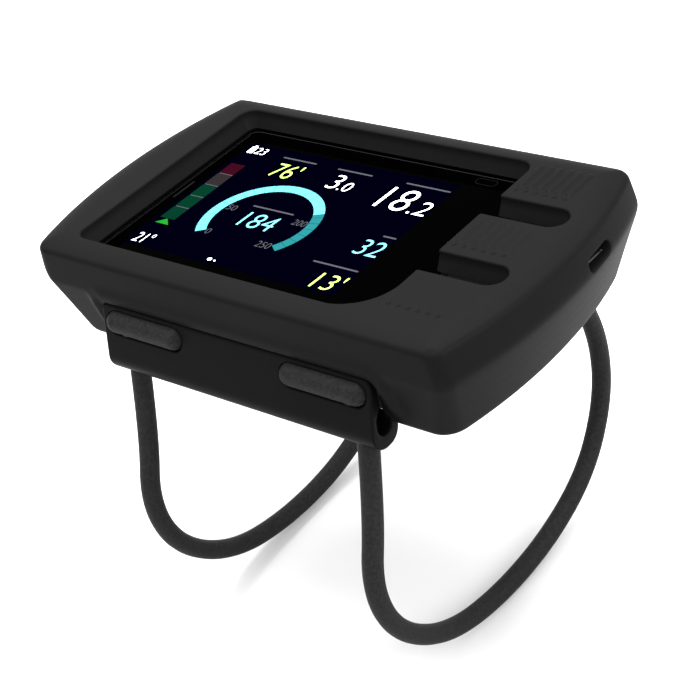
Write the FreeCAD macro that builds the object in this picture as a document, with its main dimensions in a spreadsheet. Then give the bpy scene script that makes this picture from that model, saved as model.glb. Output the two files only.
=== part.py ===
import FreeCAD, Part
import math
import os

import Sketcher

# Wrist dive computer in a silicone boot, worn on two bungee loops.
# Frame: +Z is the way the screen faces, +X runs along the long side towards the
# buttons, +Y runs away from the wearer. The origin is the middle of the flat back
# face (z = 0), where the computer rests on the forearm; the loops hang below it.

DIMS = [
    # silicone boot, outside
    ("boot_length", 109.2), ("boot_width", 64.4), ("side_radius", 102.0), ("boot_corner", 3.6),
    ("base_length", 101.4), ("base_width", 56.8), ("base_corner", 5.0),
    ("band_bottom", 14.5), ("band_top", 22.2), ("crown_top", 23.4), ("crown_inset", 11.0),
    ("boot_wall", 2.6), ("boot_floor", 2.0), ("boot_gap", 0.1),
    # openings in the boot
    ("window_length", 74.3), ("window_width", 54.0), ("window_x", -5.15), ("window_corner", 3.4),
    ("window_big_corner", 10.0),
    ("slot_width", 6.4), ("slot_length", 24.0), ("slot_x", 37.0), ("slot_near_y", -9.0),
    ("slot_far_y", 11.0),
    ("back_opening_length", 80.0), ("back_opening_width", 38.0), ("back_corner", 6.0),
    ("bar_gate_length", 72.4), ("bar_gate_top", 12.9), ("bar_gate_corner", 2.6),
    ("port_y", 11.0), ("port_z", 17.2), ("port_length", 8.4), ("port_height", 2.8),
    ("socket_depth", 5.2),
    # rigid case
    ("case_top", 19.6), ("seam", 7.6), ("case_corner", 3.0), ("cavity_length", 90.0),
    ("cavity_width", 47.0), ("cavity_corner", 13.0), ("ceiling_display", 15.3),
    ("ceiling_button", 13.4), ("display_bay_length", 78.6), ("display_bay_x", -5.7),
    ("seal_inset", 1.2), ("seal_outset", 3.8), ("seal_depth", 0.8),
    ("plateau_play", 0.2), ("cover_floor", 1.8), ("cover_shelf", 3.8),
    # window stack
    ("glass_length", 73.4), ("glass_width", 52.4), ("glass_x", -3.7), ("glass_corner", 3.0),
    ("glass_bottom", 17.5), ("glass_thick", 1.5), ("gasket_thick", 0.6), ("gasket_band", 2.2),
    ("bezel_width", 1.3), ("glass_play", 0.2),
    ("opening_length", 65.0), ("opening_width", 44.4),
    ("lcd_length", 66.0), ("lcd_width", 45.0), ("lcd_bottom", 13.0), ("lcd_thick", 2.2),
    ("backlight_bottom", 12.0), ("backlight_thick", 0.9),
    ("frame_bottom", 10.9), ("frame_thick", 1.0), ("frame_leg", 1.4),
    # electronics
    ("board_length", 86.0), ("board_width", 42.4), ("board_bottom", 7.9), ("board_thick", 1.6),
    ("board_corner", 7.0), ("board_screw_x", 40.0), ("board_screw_y", 9.5),
    ("cell_length", 58.0), ("cell_width", 32.0), ("cell_thick", 5.2), ("cell_bottom", 2.4),
    ("cell_x", 6.0), ("tray_length", 60.6), ("tray_width", 33.4), ("tray_height", 3.0),
    ("sensor_x", -29.5), ("sensor_diameter", 10.0), ("sensor_height", 4.0), ("sensor_bottom", 2.3),
    ("guard_diameter", 7.8), ("guard_thick", 1.0),
    ("switch_size", 3.6), ("switch_height", 1.6),
    # buttons
    ("button_x", 40.7), ("button_near_y", -19.4), ("button_mid_y", 1.0), ("button_far_y", 20.3),
    ("stem_x", 38.6), ("stem_near_y", -17.6), ("stem_mid_y", 1.0), ("stem_far_y", 17.6),
    ("cap_length", 10.2), ("cap_width", 9.4), ("cap_thick", 1.3), ("cap_corner", 2.6),
    ("cap_bottom", 19.3), ("cap_play", 0.3), ("recess_floor", 18.4),
    ("stem_diameter", 3.0), ("stem_bore", 3.12), ("stem_tip", 12.0), ("neck_diameter", 2.2),
    ("neck_top", 13.36), ("neck_height", 0.6), ("clip_diameter", 4.4), ("clip_thick", 0.5),
    ("spring_bore", 6.6), ("spring_seat", 16.4), ("spring_radius", 2.45), ("spring_wire", 0.5),
    ("spring_turns", 3.0), ("ring_seat", 14.7), ("ring_bore", 5.5), ("ring_height", 1.2),
    ("ring_radius", 2.15), ("ring_section", 1.08),
    # fasteners of the back cover
    ("cover_screw_x", 43.6), ("cover_screw_y", 22.1), ("screw_shank", 2.0), ("screw_head", 3.4),
    ("head_height", 1.6),
    # bungee bars, pins and lugs
    ("bar_length", 67.0), ("pin_y", 30.9), ("pin_z", 2.0), ("hollow_diameter", 3.8),
    ("pin_diameter", 2.0), ("pin_length", 38.6), ("lug_x", 10.5), ("lug_width", 5.0),
    ("lug_nose", 3.4), ("knuckle_diameter", 4.6), ("knuckle_gap", 0.3),
    ("bar_top", 12.5), ("bar_bottom", -1.8), ("bar_end_corner", 2.4),
    ("slot_window_x", 22.55), ("slot_window_length", 19.1), ("slot_window_height", 4.6),
    ("slot_window_z", 9.0),
    # bungee cord
    ("cord_diameter", 4.2), ("cord_x", 29.3), ("cord_hole", 4.8), ("cord_hole_y", 31.1),
    ("cord_relief", 5.4), ("cord_relief_z", 4.2), ("cord_join_z", -0.4),
]


class Size:
    """A length that keeps the spreadsheet expression it is worked out from."""

    def __init__(self, text, value):
        self.text = text
        self.value = value

    @staticmethod
    def of(other):
        return other if isinstance(other, Size) else Size(repr(float(other)), float(other))

    def _join(self, sign, other, value):
        return Size(f"({self.text} {sign} {Size.of(other).text})", value)

    def __add__(self, other):
        return self._join("+", other, self.value + Size.of(other).value)

    def __sub__(self, other):
        return self._join("-", other, self.value - Size.of(other).value)

    def __mul__(self, other):
        return self._join("*", other, self.value * Size.of(other).value)

    def __truediv__(self, other):
        return self._join("/", other, self.value / Size.of(other).value)

    def __neg__(self):
        return Size(f"(0 - {self.text})", -self.value)

    __radd__ = __add__
    __rmul__ = __mul__


doc = FreeCAD.newDocument("DiveComputer")
sheet = doc.addObject("Spreadsheet::Sheet", "Dims")
for row, (alias, number) in enumerate(DIMS, start=1):
    sheet.set(f"A{row}", alias)
    sheet.set(f"B{row}", str(number))
    sheet.setAlias(f"B{row}", alias)
doc.recompute()

D = {alias: Size(f"Dims.{alias}", number) for alias, number in DIMS}
SIDES = ("near", "mid", "far")
parts = []


# ---------------------------------------------------------------- helpers

def bind(obj, path, size):
    obj.setExpression(path, Size.of(size).text)


def place(obj, x=0, y=0, z=0):
    for axis, size in zip("xyz", (x, y, z)):
        bind(obj, f".Placement.Base.{axis}", size)


def new_body(label):
    body = doc.addObject("PartDesign::Body", label)
    body.Label = label
    parts.append(body)
    return body


def sketch_on(body, at, role="XY_Plane"):
    """Empty sketch on one of the body's origin planes, moved to `at` in the plane's own axes."""
    sketch = body.newObject("Sketcher::SketchObject", f"{body.Label}_sketch")
    support = [f for f in body.Origin.OriginFeatures if f.Role == role][0]
    sketch.AttachmentSupport = [(support, "")]
    sketch.MapMode = "FlatFace"
    for axis, size in zip("xyz", at):
        bind(sketch, f".AttachmentOffset.Base.{axis}", size)
    return sketch


def constrain(sketch, name, kind, *where):
    """A named dimension whose last argument is a Size."""
    size = Size.of(where[-1])
    index = sketch.addConstraint(Sketcher.Constraint(kind, *where[:-1], size.value))
    sketch.renameConstraint(index, name)
    bind(sketch, f".Constraints.{name}", size)


def round_corners(corners, radii):
    """Straight sides and corner arcs of a closed outline, counter-clockwise."""
    count = len(corners)
    starts, ends, arcs = [], [], []
    for i in range(count):
        before, here, after = corners[i - 1], corners[i], corners[(i + 1) % count]
        into = (here - before).normalize()
        out = (after - here).normalize()
        half_turn = into.getAngle(out) / 2
        reach = radii[i] * math.tan(half_turn)
        first = here - into * reach
        last = here + out * reach
        middle = here + (out - into).normalize() * (radii[i] / math.cos(half_turn) - radii[i])
        arcs.append(Part.Arc(first, middle, last))
        ends.append(first)
        starts.append(last)
    lines = [Part.LineSegment(starts[i], ends[(i + 1) % count]) for i in range(count)]
    return arcs, lines


def rounded(body, at, length, width, corner, role="XY_Plane", into=None):
    """Rounded rectangle centred on the sketch origin; `corner` is one radius or four."""
    sketch = into or sketch_on(body, at, role)
    length, width = Size.of(length), Size.of(width)
    radii = [Size.of(r) for r in (corner if isinstance(corner, (list, tuple)) else [corner] * 4)]
    hx, hy = length.value / 2, width.value / 2
    points = [FreeCAD.Vector(x, y, 0) for x, y in ((-hx, -hy), (hx, -hy), (hx, hy), (-hx, hy))]
    arcs, lines = round_corners(points, [r.value for r in radii])
    tag = f"r{sketch.GeometryCount}_"
    base = sketch.GeometryCount
    sketch.addGeometry(arcs + lines, False)
    for i in range(4):
        arc, line, following = base + i, base + 4 + i, base + (i + 1) % 4
        sketch.addConstraint(Sketcher.Constraint("Tangent", arc, 2, line, 1))
        sketch.addConstraint(Sketcher.Constraint("Tangent", line, 2, following, 1))
        constrain(sketch, f"{tag}corner{i}", "Radius", arc, radii[i])
    for line, way in ((4, "Horizontal"), (5, "Vertical"), (6, "Horizontal"), (7, "Vertical")):
        sketch.addConstraint(Sketcher.Constraint(way, base + line))
    constrain(sketch, f"{tag}near", "DistanceY", base + 4, 1, -1, 1, width / 2)
    constrain(sketch, f"{tag}right", "DistanceX", -1, 1, base + 5, 1, length / 2)
    constrain(sketch, f"{tag}far", "DistanceY", -1, 1, base + 6, 1, width / 2)
    constrain(sketch, f"{tag}left", "DistanceX", base + 7, 1, -1, 1, length / 2)
    return sketch


def barrel(body, at, length, width, corner):
    """The case outline: straight near and far sides, bowed ends, rounded corners."""
    sketch = sketch_on(body, at)
    length, width, corner, side = Size.of(length), Size.of(width), Size.of(corner), D["side_radius"]
    centre = side.value - length.value / 2
    half = width.value / 2
    up = half - corner.value
    reach = math.sqrt((side.value - corner.value) ** 2 - up ** 2)
    turn = math.atan2(up, reach)
    corner_x = reach - centre
    flat = FreeCAD.Vector(0, 0, 1)

    def arc(x, y, radius, start, end):
        return Part.ArcOfCircle(Part.Circle(FreeCAD.Vector(x, y, 0), flat, radius), start, end)

    quarter = math.pi / 2
    r = corner.value
    geometry = [
        Part.LineSegment(FreeCAD.Vector(-corner_x, -half, 0), FreeCAD.Vector(corner_x, -half, 0)),
        arc(corner_x, -up, r, -quarter, -turn),
        arc(-centre, 0, side.value, -turn, turn),
        arc(corner_x, up, r, turn, quarter),
        Part.LineSegment(FreeCAD.Vector(corner_x, half, 0), FreeCAD.Vector(-corner_x, half, 0)),
        arc(-corner_x, up, r, quarter, math.pi - turn),
        arc(centre, 0, side.value, math.pi - turn, math.pi + turn),
        arc(-corner_x, -up, r, math.pi + turn, 3 * quarter),
    ]
    sketch.addGeometry(geometry, False)
    for i in range(8):
        sketch.addConstraint(Sketcher.Constraint("Tangent", i, 2, (i + 1) % 8, 1))
    for line in (0, 4):
        sketch.addConstraint(Sketcher.Constraint("Horizontal", line))
    constrain(sketch, "near", "DistanceY", 0, 1, -1, 1, width / 2)
    constrain(sketch, "far", "DistanceY", -1, 1, 4, 1, width / 2)
    for name, i in (("near_right", 1), ("far_right", 3), ("far_left", 5), ("near_left", 7)):
        constrain(sketch, name, "Radius", i, corner)
    for name, i in (("right_bow", 2), ("left_bow", 6)):
        constrain(sketch, name, "Radius", i, side)
        sketch.addConstraint(Sketcher.Constraint("PointOnObject", i, 3, -1))
    constrain(sketch, "right_centre", "DistanceX", 2, 3, -1, 1, side - length / 2)
    constrain(sketch, "left_centre", "DistanceX", -1, 1, 6, 3, side - length / 2)
    return sketch


def circle(body, at, diameter, role="XY_Plane", into=None):
    sketch = into or sketch_on(body, at, role)
    diameter = Size.of(diameter)
    flat = FreeCAD.Vector(0, 0, 1)
    index = sketch.addGeometry(Part.Circle(FreeCAD.Vector(), flat, diameter.value / 2), False)
    sketch.addConstraint(Sketcher.Constraint("Coincident", index, 3, -1, 1))
    constrain(sketch, f"round{index}", "Diameter", index, diameter)
    return sketch


def polygon(body, at, points, role):
    """Closed outline through points given as pairs of Sizes, from the sketch origin."""
    sketch = sketch_on(body, at, role)
    pairs = [(Size.of(a), Size.of(b)) for a, b in points]
    corners = [FreeCAD.Vector(a.value, b.value, 0) for a, b in pairs]
    count = len(corners)
    sketch.addGeometry([Part.LineSegment(corners[i], corners[(i + 1) % count])
                        for i in range(count)], False)
    for i in range(count):
        sketch.addConstraint(Sketcher.Constraint("Coincident", i, 2, (i + 1) % count, 1))
    for i, pair in enumerate(pairs):
        for axis, size in zip("XY", pair):
            if size.value < 0:
                constrain(sketch, f"p{i}{axis}", f"Distance{axis}", i, 1, -1, 1, -size)
            else:
                constrain(sketch, f"p{i}{axis}", f"Distance{axis}", -1, 1, i, 1, size)
    return sketch


def feature(kind, body, sketch, length, back=False, both=False):
    made = body.newObject(f"PartDesign::{kind}", f"{body.Label}_{kind}")
    made.Profile = sketch
    bind(made, ".Length", length)
    made.Reversed = back
    made.Midplane = both
    sketch.Visibility = False
    return made


def pad(body, sketch, length, back=False, both=False):
    return feature("Pad", body, sketch, length, back, both)


def pocket(body, sketch, length, back=False, both=False):
    return feature("Pocket", body, sketch, length, back, both)


def loft(kind, body, lower, upper):
    made = body.newObject(f"PartDesign::{kind}Loft", f"{body.Label}_{kind}Loft")
    made.Profile = lower
    made.Sections = [upper]
    made.Ruled = True
    return made


def round_edges(body, radius, wanted):
    """Fillet the edges of the body's latest feature that `wanted` picks."""
    doc.recompute()
    tip = body.Tip
    names = [f"Edge{i}" for i, edge in enumerate(tip.Shape.Edges, start=1) if wanted(edge)]
    made = body.newObject("PartDesign::Fillet", f"{body.Label}_Fillet")
    made.Base = (tip, names)
    made.Radius = radius
    return made


def slab(label, at, length, width, height, corner):
    """A rounded plate whose underside centre is at `at`."""
    body = new_body(label)
    pad(body, rounded(body, (0, 0, 0), length, width, corner), height)
    place(body, *at)
    return body


def drum(label, at, diameter, height, along=None):
    """A plain cylinder standing on `at`, or lying along X or Y from it."""
    made = doc.addObject("Part::Cylinder", label)
    made.Label = label
    bind(made, ".Radius", Size.of(diameter) / 2)
    bind(made, ".Height", height)
    turns = {"x": (FreeCAD.Vector(0, 1, 0), 90), "y": (FreeCAD.Vector(1, 0, 0), -90)}
    if along:
        made.Placement = FreeCAD.Placement(FreeCAD.Vector(), FreeCAD.Rotation(*turns[along]))
    place(made, *at)
    return made


def group(label, members):
    """Identical loose pieces kept in one node."""
    made = doc.addObject("Part::Compound", label)
    made.Label = label
    made.Links = members
    parts.append(made)
    return made


def keep(obj):
    parts.append(obj)
    return obj


def case_size(which, height):
    """Length or width of the rigid case at a height on its sloping lower half."""
    top = D[f"boot_{which}"] - D["boot_wall"] * 2
    base = D[f"base_{which}"] - D["boot_wall"] * 2
    return base + (top - base) * Size.of(height) / D["band_bottom"]


# ---------------------------------------------------------------- soft boot

def make_boot():
    body = new_body("boot")
    low = barrel(body, (0, 0, 0), D["base_length"], D["base_width"], D["base_corner"])
    top = barrel(body, (0, 0, D["band_bottom"]), D["boot_length"], D["boot_width"],
                 D["boot_corner"])
    loft("Additive", body, low, top)
    band = barrel(body, (0, 0, D["band_bottom"]), D["boot_length"], D["boot_width"],
                  D["boot_corner"])
    pad(body, band, D["band_top"] - D["band_bottom"])
    rim = barrel(body, (0, 0, D["band_top"]), D["boot_length"], D["boot_width"],
                 D["boot_corner"])
    crown = barrel(body, (0, 0, D["crown_top"]), D["boot_length"] - D["crown_inset"],
                   D["boot_width"] - D["crown_inset"], D["boot_corner"])
    loft("Additive", body, rim, crown)
    round_edges(body, 1.6, lambda edge: edge.BoundBox.ZMax < 0.01)

    gap = D["boot_gap"] * 2
    inner_low = barrel(body, (0, 0, D["boot_floor"]), case_size("length", D["boot_floor"]) + gap,
                       case_size("width", D["boot_floor"]) + gap, D["case_corner"])
    inner_top = barrel(body, (0, 0, D["band_bottom"]),
                       case_size("length", D["band_bottom"]) + gap,
                       case_size("width", D["band_bottom"]) + gap, D["case_corner"])
    loft("Subtractive", body, inner_low, inner_top)
    inner_band = barrel(body, (0, 0, D["band_bottom"]),
                        case_size("length", D["band_bottom"]) + gap,
                        case_size("width", D["band_bottom"]) + gap, D["case_corner"])
    pocket(body, inner_band, D["case_top"] + D["boot_gap"] - D["band_bottom"], back=True)

    back = rounded(body, (0, 0, 0), D["back_opening_length"], D["back_opening_width"],
                   D["back_corner"])
    pocket(body, back, D["boot_floor"] * 2, both=True)
    above = D["crown_top"] + 1
    radii = [D["window_corner"], D["window_big_corner"], D["window_corner"], D["window_corner"]]
    window = rounded(body, (D["window_x"], 0, above), D["window_length"], D["window_width"], radii)
    pocket(body, window, above - D["case_top"])
    for name in ("slot_near_y", "slot_far_y"):
        slot = rounded(body, (D["slot_x"], D[name], above), D["slot_length"], D["slot_width"],
                       D["slot_width"] / 2 - 0.02)
        pocket(body, slot, above - D["case_top"])
    relief = D["cap_play"] * 2 + 0.2
    for side in SIDES:
        cap = rounded(body, (D["button_x"], D[f"button_{side}_y"], D["case_top"]),
                      D["cap_length"] + relief, D["cap_width"] + relief, D["cap_corner"])
        height = D["cap_bottom"] + D["cap_thick"] + D["cap_play"] - D["case_top"]
        pocket(body, cap, height, back=True)
    port = rounded(body, (D["port_y"], D["port_z"], D["boot_length"] / 2 + 1), D["port_length"],
                   D["port_height"], D["port_height"] / 2 - 0.02, "YZ_Plane")
    pocket(body, port, D["boot_wall"] * 2.5)
    reach = D["boot_width"] / 2 + 2
    depth = reach - D["base_width"] / 2 + D["boot_wall"]
    gate_height = D["bar_gate_top"] * 2
    for side in (-1, 1):
        gate = rounded(body, (0, 0, reach * side), D["bar_gate_length"], gate_height,
                       D["bar_gate_corner"], "XZ_Plane")
        pocket(body, gate, depth, back=side < 0)
    return body


# ---------------------------------------------------------------- rigid case

def make_upper_case():
    body = new_body("upper_case")
    seam, band = D["seam"], D["band_bottom"]
    low = barrel(body, (0, 0, seam), case_size("length", seam), case_size("width", seam),
                 D["case_corner"])
    top = barrel(body, (0, 0, band), case_size("length", band), case_size("width", band),
                 D["case_corner"])
    loft("Additive", body, low, top)
    pad(body, barrel(body, (0, 0, band), case_size("length", band), case_size("width", band),
                     D["case_corner"]), D["case_top"] - band)

    cavity = rounded(body, (0, 0, seam), D["cavity_length"], D["cavity_width"],
                     D["cavity_corner"])
    pocket(body, cavity, D["ceiling_button"] - seam, back=True)
    left, right = D["cavity_corner"], Size.of(2)
    bay = rounded(body, (D["display_bay_x"], 0, D["ceiling_button"]), D["display_bay_length"],
                  D["cavity_width"], [left, right, right, left])
    pocket(body, bay, D["ceiling_display"] - D["ceiling_button"], back=True)
    seat = D["glass_bottom"] - D["gasket_thick"]
    rim = (D["bezel_width"] + D["glass_play"] * 2) * 2
    recess = rounded(body, (D["glass_x"], 0, D["case_top"]), D["glass_length"] + rim,
                     D["glass_width"] + rim, D["glass_corner"] + D["bezel_width"])
    pocket(body, recess, D["case_top"] - seat)
    opening = rounded(body, (D["glass_x"], 0, seat), D["opening_length"], D["opening_width"], 2)
    pocket(body, opening, seat - D["ceiling_display"])

    for side in SIDES:
        x, y = D["button_x"], D[f"button_{side}_y"]
        play = D["cap_play"] * 2
        well = rounded(body, (x, y, D["case_top"]), D["cap_length"] + play,
                       D["cap_width"] + play, D["cap_corner"] + D["cap_play"])
        pocket(body, well, D["case_top"] - D["recess_floor"])
        x, y = D["stem_x"], D[f"stem_{side}_y"]
        spring_hole = circle(body, (x, y, D["case_top"]), D["spring_bore"])
        pocket(body, spring_hole, D["case_top"] - D["spring_seat"])
        bore = circle(body, (x, y, D["spring_seat"]), D["stem_bore"])
        pocket(body, bore, D["spring_seat"] - D["ceiling_button"])
        groove = circle(body, (x, y, D["ring_seat"] + D["ring_height"]), D["ring_bore"])
        pocket(body, groove, D["ring_height"])

    socket = rounded(body, (D["port_y"], D["port_z"], D["boot_length"] / 2),
                     D["port_length"] - 0.4, D["port_height"], 0.4, "YZ_Plane")
    pocket(body, socket, D["boot_length"] / 2 - D["cavity_length"] / 2)
    shaft_top = D["port_z"] + D["port_height"] / 2
    shaft = rounded(body, (D["cavity_length"] / 2 - 1, D["port_y"], shaft_top), 2.1,
                    D["port_length"] - 2, 0.4)
    pocket(body, shaft, shaft_top - D["ceiling_button"])
    for x, y in corner_places("cover_screw"):
        hole = circle(body, (x, y, seam), D["screw_shank"] * 0.98)
        pocket(body, hole, 5, back=True)
    return body


def corner_places(name):
    return [(D[f"{name}_x"] * sx, D[f"{name}_y"] * sy) for sx in (-1, 1) for sy in (-1, 1)]


def make_back_cover():
    body = new_body("back_cover")
    floor, seam = D["boot_floor"] + D["boot_gap"], D["seam"]
    low = barrel(body, (0, 0, floor), case_size("length", floor), case_size("width", floor),
                 D["case_corner"])
    top = barrel(body, (0, 0, seam), case_size("length", seam), case_size("width", seam),
                 D["case_corner"])
    loft("Additive", body, low, top)
    plateau = rounded(body, (0, 0, 0), D["back_opening_length"] - D["plateau_play"] * 2,
                      D["back_opening_width"] - D["plateau_play"] * 2, D["back_corner"])
    pad(body, plateau, floor)
    # one pair of lugs on each long side, reaching out to the bar's pin
    pin_y, pin_z, nose = D["pin_y"], D["pin_z"], D["lug_nose"]
    for side in (-1, 1):
        for lug in (-1, 1):
            start = D["lug_x"] * lug - D["lug_width"] / 2
            pad(body, circle(body, (pin_y * side, pin_z, start), nose, "YZ_Plane"),
                D["lug_width"])
            root = case_size("width", floor) / 2 - 0.45
            tongue = rounded(body, ((pin_y + root) * side / 2, pin_z, start), pin_y - root,
                             nose - 0.4, 0.1, "YZ_Plane")
            pad(body, tongue, D["lug_width"])
    for side in (-1, 1):
        bore = circle(body, (pin_y * side, pin_z, 0), D["pin_diameter"] + 0.1, "YZ_Plane")
        pocket(body, bore, (D["lug_x"] + D["lug_width"]) * 2, both=True)

    shelf = rounded(body, (0, 0, seam), D["cavity_length"], D["cavity_width"],
                    D["cavity_corner"])
    pocket(body, shelf, seam - D["cover_shelf"])
    well = rounded(body, (0, 0, D["cover_shelf"]), D["back_opening_length"] - 6,
                   D["back_opening_width"] - 4, D["back_corner"] - 2)
    pocket(body, well, D["cover_shelf"] - D["cover_floor"])
    for x, y in corner_places("board_screw"):
        base = D["cover_shelf"]
        pad(body, circle(body, (x, y, base), 4), D["board_bottom"] - base)
        pocket(body, circle(body, (x, y, D["board_bottom"]), 1.4), 3)

    inner, outer = D["seal_inset"], D["seal_outset"]
    groove = rounded(body, (0, 0, seam), D["cavity_length"] + outer, D["cavity_width"] + outer,
                     D["cavity_corner"] + outer / 2)
    rounded(body, None, D["cavity_length"] + inner, D["cavity_width"] + inner,
            D["cavity_corner"] + inner / 2, into=groove)
    pocket(body, groove, D["seal_depth"])
    for x, y in corner_places("cover_screw"):
        pocket(body, circle(body, (x, y, seam), D["screw_shank"] + 0.3), seam)
        pocket(body, circle(body, (x, y, floor), D["screw_head"] + 0.3), D["head_height"] + 0.1,
               back=True)
    port = circle(body, (D["sensor_x"], 0, D["cover_floor"]), 3)
    pocket(body, port, D["cover_floor"] * 2)
    guard_seat = circle(body, (D["sensor_x"], 0, 0), D["guard_diameter"] + 0.2)
    pocket(body, guard_seat, D["guard_thick"] + 0.15, back=True)
    return body


def make_case_seal():
    body = new_body("case_seal")
    play = 0.1
    inner, outer = D["seal_inset"] + play * 2, D["seal_outset"] - play * 2
    ring = rounded(body, (0, 0, 0), D["cavity_length"] + outer, D["cavity_width"] + outer,
                   D["cavity_corner"] + outer / 2)
    rounded(body, None, D["cavity_length"] + inner, D["cavity_width"] + inner,
            D["cavity_corner"] + inner / 2, into=ring)
    pad(body, ring, D["seal_depth"] - 0.05)
    place(body, 0, 0, D["seam"] - D["seal_depth"] + 0.02)


def frame_plate(label, at, length, width, corner, hole_length, hole_width, hole_corner, height):
    """A flat ring: a rounded plate with a rounded opening."""
    body = new_body(label)
    ring = rounded(body, (0, 0, 0), length, width, corner)
    rounded(body, None, hole_length, hole_width, hole_corner, into=ring)
    pad(body, ring, height)
    place(body, *at)
    return body


def screw(label, x, y, z, head_down, length, shank, head, height):
    """Pan-head screw whose head sits at z, shank pointing up or down."""
    body = doc.addObject("PartDesign::Body", label)
    body.Label = label
    pad(body, circle(body, (0, 0, 0), head), height, back=not head_down)
    pad(body, circle(body, (0, 0, 0), shank), length + height, back=not head_down)
    hex_key = circle(body, (0, 0, 0), Size.of(head) * 0.5)
    pocket(body, hex_key, Size.of(height) * 0.5, back=head_down)
    place(body, x, y, z)
    return body


def make_cover_screws():
    floor = D["boot_floor"] + D["boot_gap"]
    members = [screw(f"cover_screw_{i}", x, y, floor + 0.05, True, 7.4, D["screw_shank"] * 0.94,
                     D["screw_head"], D["head_height"])
               for i, (x, y) in enumerate(corner_places("cover_screw"))]
    group("cover_screws", members)


# ---------------------------------------------------------------- window and electronics

def make_window_stack():
    glass = slab("cover_glass", (D["glass_x"], 0, D["glass_bottom"]), D["glass_length"],
                 D["glass_width"], D["glass_thick"], D["glass_corner"])
    round_edges(glass, 0.3, lambda edge: edge.BoundBox.ZMin > D["glass_thick"].value - 0.01)
    seat = D["glass_bottom"] - D["gasket_thick"]
    inner = D["gasket_band"] * 2
    frame_plate("glass_gasket", (D["glass_x"], 0, seat), D["glass_length"], D["glass_width"],
                D["glass_corner"], D["glass_length"] - inner, D["glass_width"] - inner,
                D["glass_corner"] - 1, D["gasket_thick"])
    play, rim = D["glass_play"] * 2, D["bezel_width"] * 2
    frame_plate("bezel_ring", (D["glass_x"], 0, seat), D["glass_length"] + play + rim,
                D["glass_width"] + play + rim, D["glass_corner"] + D["bezel_width"],
                D["glass_length"] + play, D["glass_width"] + play, D["glass_corner"],
                D["case_top"] - seat)
    slab("display_module", (D["glass_x"], 0, D["lcd_bottom"]), D["lcd_length"], D["lcd_width"],
         D["lcd_thick"], 1)
    slab("backlight_plate", (D["glass_x"], 0, D["backlight_bottom"]), D["lcd_length"],
         D["lcd_width"], D["backlight_thick"], 1)
    frame = frame_plate("display_frame", (D["glass_x"], 0, D["frame_bottom"]), D["lcd_length"],
                        D["lcd_width"] - 1, 2, D["lcd_length"] - 12, D["lcd_width"] - 14, 2,
                        D["frame_thick"])
    for sx in (-1, 1):
        for sy in (-1, 1):
            leg = circle(frame, (D["lcd_length"] * (0.46 * sx), 17.5 * sy, 0), 3)
            pad(frame, leg, D["frame_leg"] - 0.05, back=True)
    keep(drum("light_sensor", (24.5, 19.6, D["lcd_bottom"] + D["lcd_thick"] + 0.05), 3, 1.2))
    cable = new_body("display_cable")
    shape = [(0, 0), (3.3, 0), (3.3, -4.1), (1.2, -4.1), (1.2, -3.8), (3.0, -3.8), (3.0, -0.3),
             (0, -0.3)]
    strip = polygon(cable, (0, 0, 0), shape, "XZ_Plane")
    pad(cable, strip, 14, both=True)
    place(cable, D["glass_x"] + D["lcd_length"] / 2 + 0.05, 0, D["lcd_bottom"] + 0.7)


def make_electronics():
    board = slab("main_board", (0, 0, D["board_bottom"]), D["board_length"], D["board_width"],
                 D["board_thick"], D["board_corner"])
    for x, y in corner_places("board_screw"):
        pocket(board, circle(board, (x, y, D["board_thick"]), 1.8), D["board_thick"])
    board_top = D["board_bottom"] + D["board_thick"]
    members = [screw(f"board_screw_{i}", x, y, board_top + 0.85, False, 3.2, 1.3, 2.6, 0.8)
               for i, (x, y) in enumerate(corner_places("board_screw"))]
    group("board_screws", members)

    cell = slab("battery_cell", (D["cell_x"], 0, D["cell_bottom"]), D["cell_length"],
                D["cell_width"], D["cell_thick"], 3)
    round_edges(cell, 1, lambda edge: edge.BoundBox.ZLength < 0.01)
    tray = frame_plate("battery_tray", (D["cell_x"], 0, D["cover_floor"] + 0.05),
                       D["tray_length"], D["tray_width"], 3.4, D["cell_length"] + 0.4,
                       D["cell_width"] + 0.4, 3, D["tray_height"])
    pad(tray, rounded(tray, (0, 0, 0), D["tray_length"], D["tray_width"], 3.4), 0.4)

    switches = []
    for side in SIDES:
        box = doc.addObject("Part::Box", f"switch_{side}")
        bind(box, ".Length", D["switch_size"])
        bind(box, ".Width", D["switch_size"])
        bind(box, ".Height", D["switch_height"])
        place(box, D["stem_x"] - D["switch_size"] / 2,
              D[f"stem_{side}_y"] - D["switch_size"] / 2, board_top + 0.02)
        switches.append(box)
    group("key_switches", switches)
    slab("compass_module", (-30, 0, board_top + 0.02), 7, 7, 1.2, 0.6)
    slab("radio_module", (-31, -12.5, D["board_bottom"] - 2.22), 9, 7, 2.2, 0.6)
    keep(drum("radio_antenna", (-42.2, -11, 12), 3.2, 22, "y"))
    keep(drum("buzzer", (-32.5, 12.5, D["board_bottom"] - 2.82), 9, 2.8))
    keep(drum("pressure_sensor", (D["sensor_x"], 0, D["sensor_bottom"]), D["sensor_diameter"],
              D["sensor_height"]))
    seal = doc.addObject("Part::Torus", "sensor_seal")
    seal.Label = "sensor_seal"
    bind(seal, ".Radius1", D["sensor_diameter"] / 2 - 1)
    seal.Radius2 = 0.22
    place(seal, D["sensor_x"], 0, D["cover_floor"] + 0.26)
    keep(seal)
    guard = slab("sensor_guard", (D["sensor_x"], 0, 0), D["guard_diameter"],
                 D["guard_diameter"], D["guard_thick"], D["guard_diameter"] / 2 - 0.02)
    spots = [(0, 0)] + [(2.2 * math.cos(k * math.pi / 3), 2.2 * math.sin(k * math.pi / 3))
                        for k in range(6)]
    for x, y in spots:
        pocket(guard, circle(guard, (x, y, D["guard_thick"]), 1), D["guard_thick"])


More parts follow.
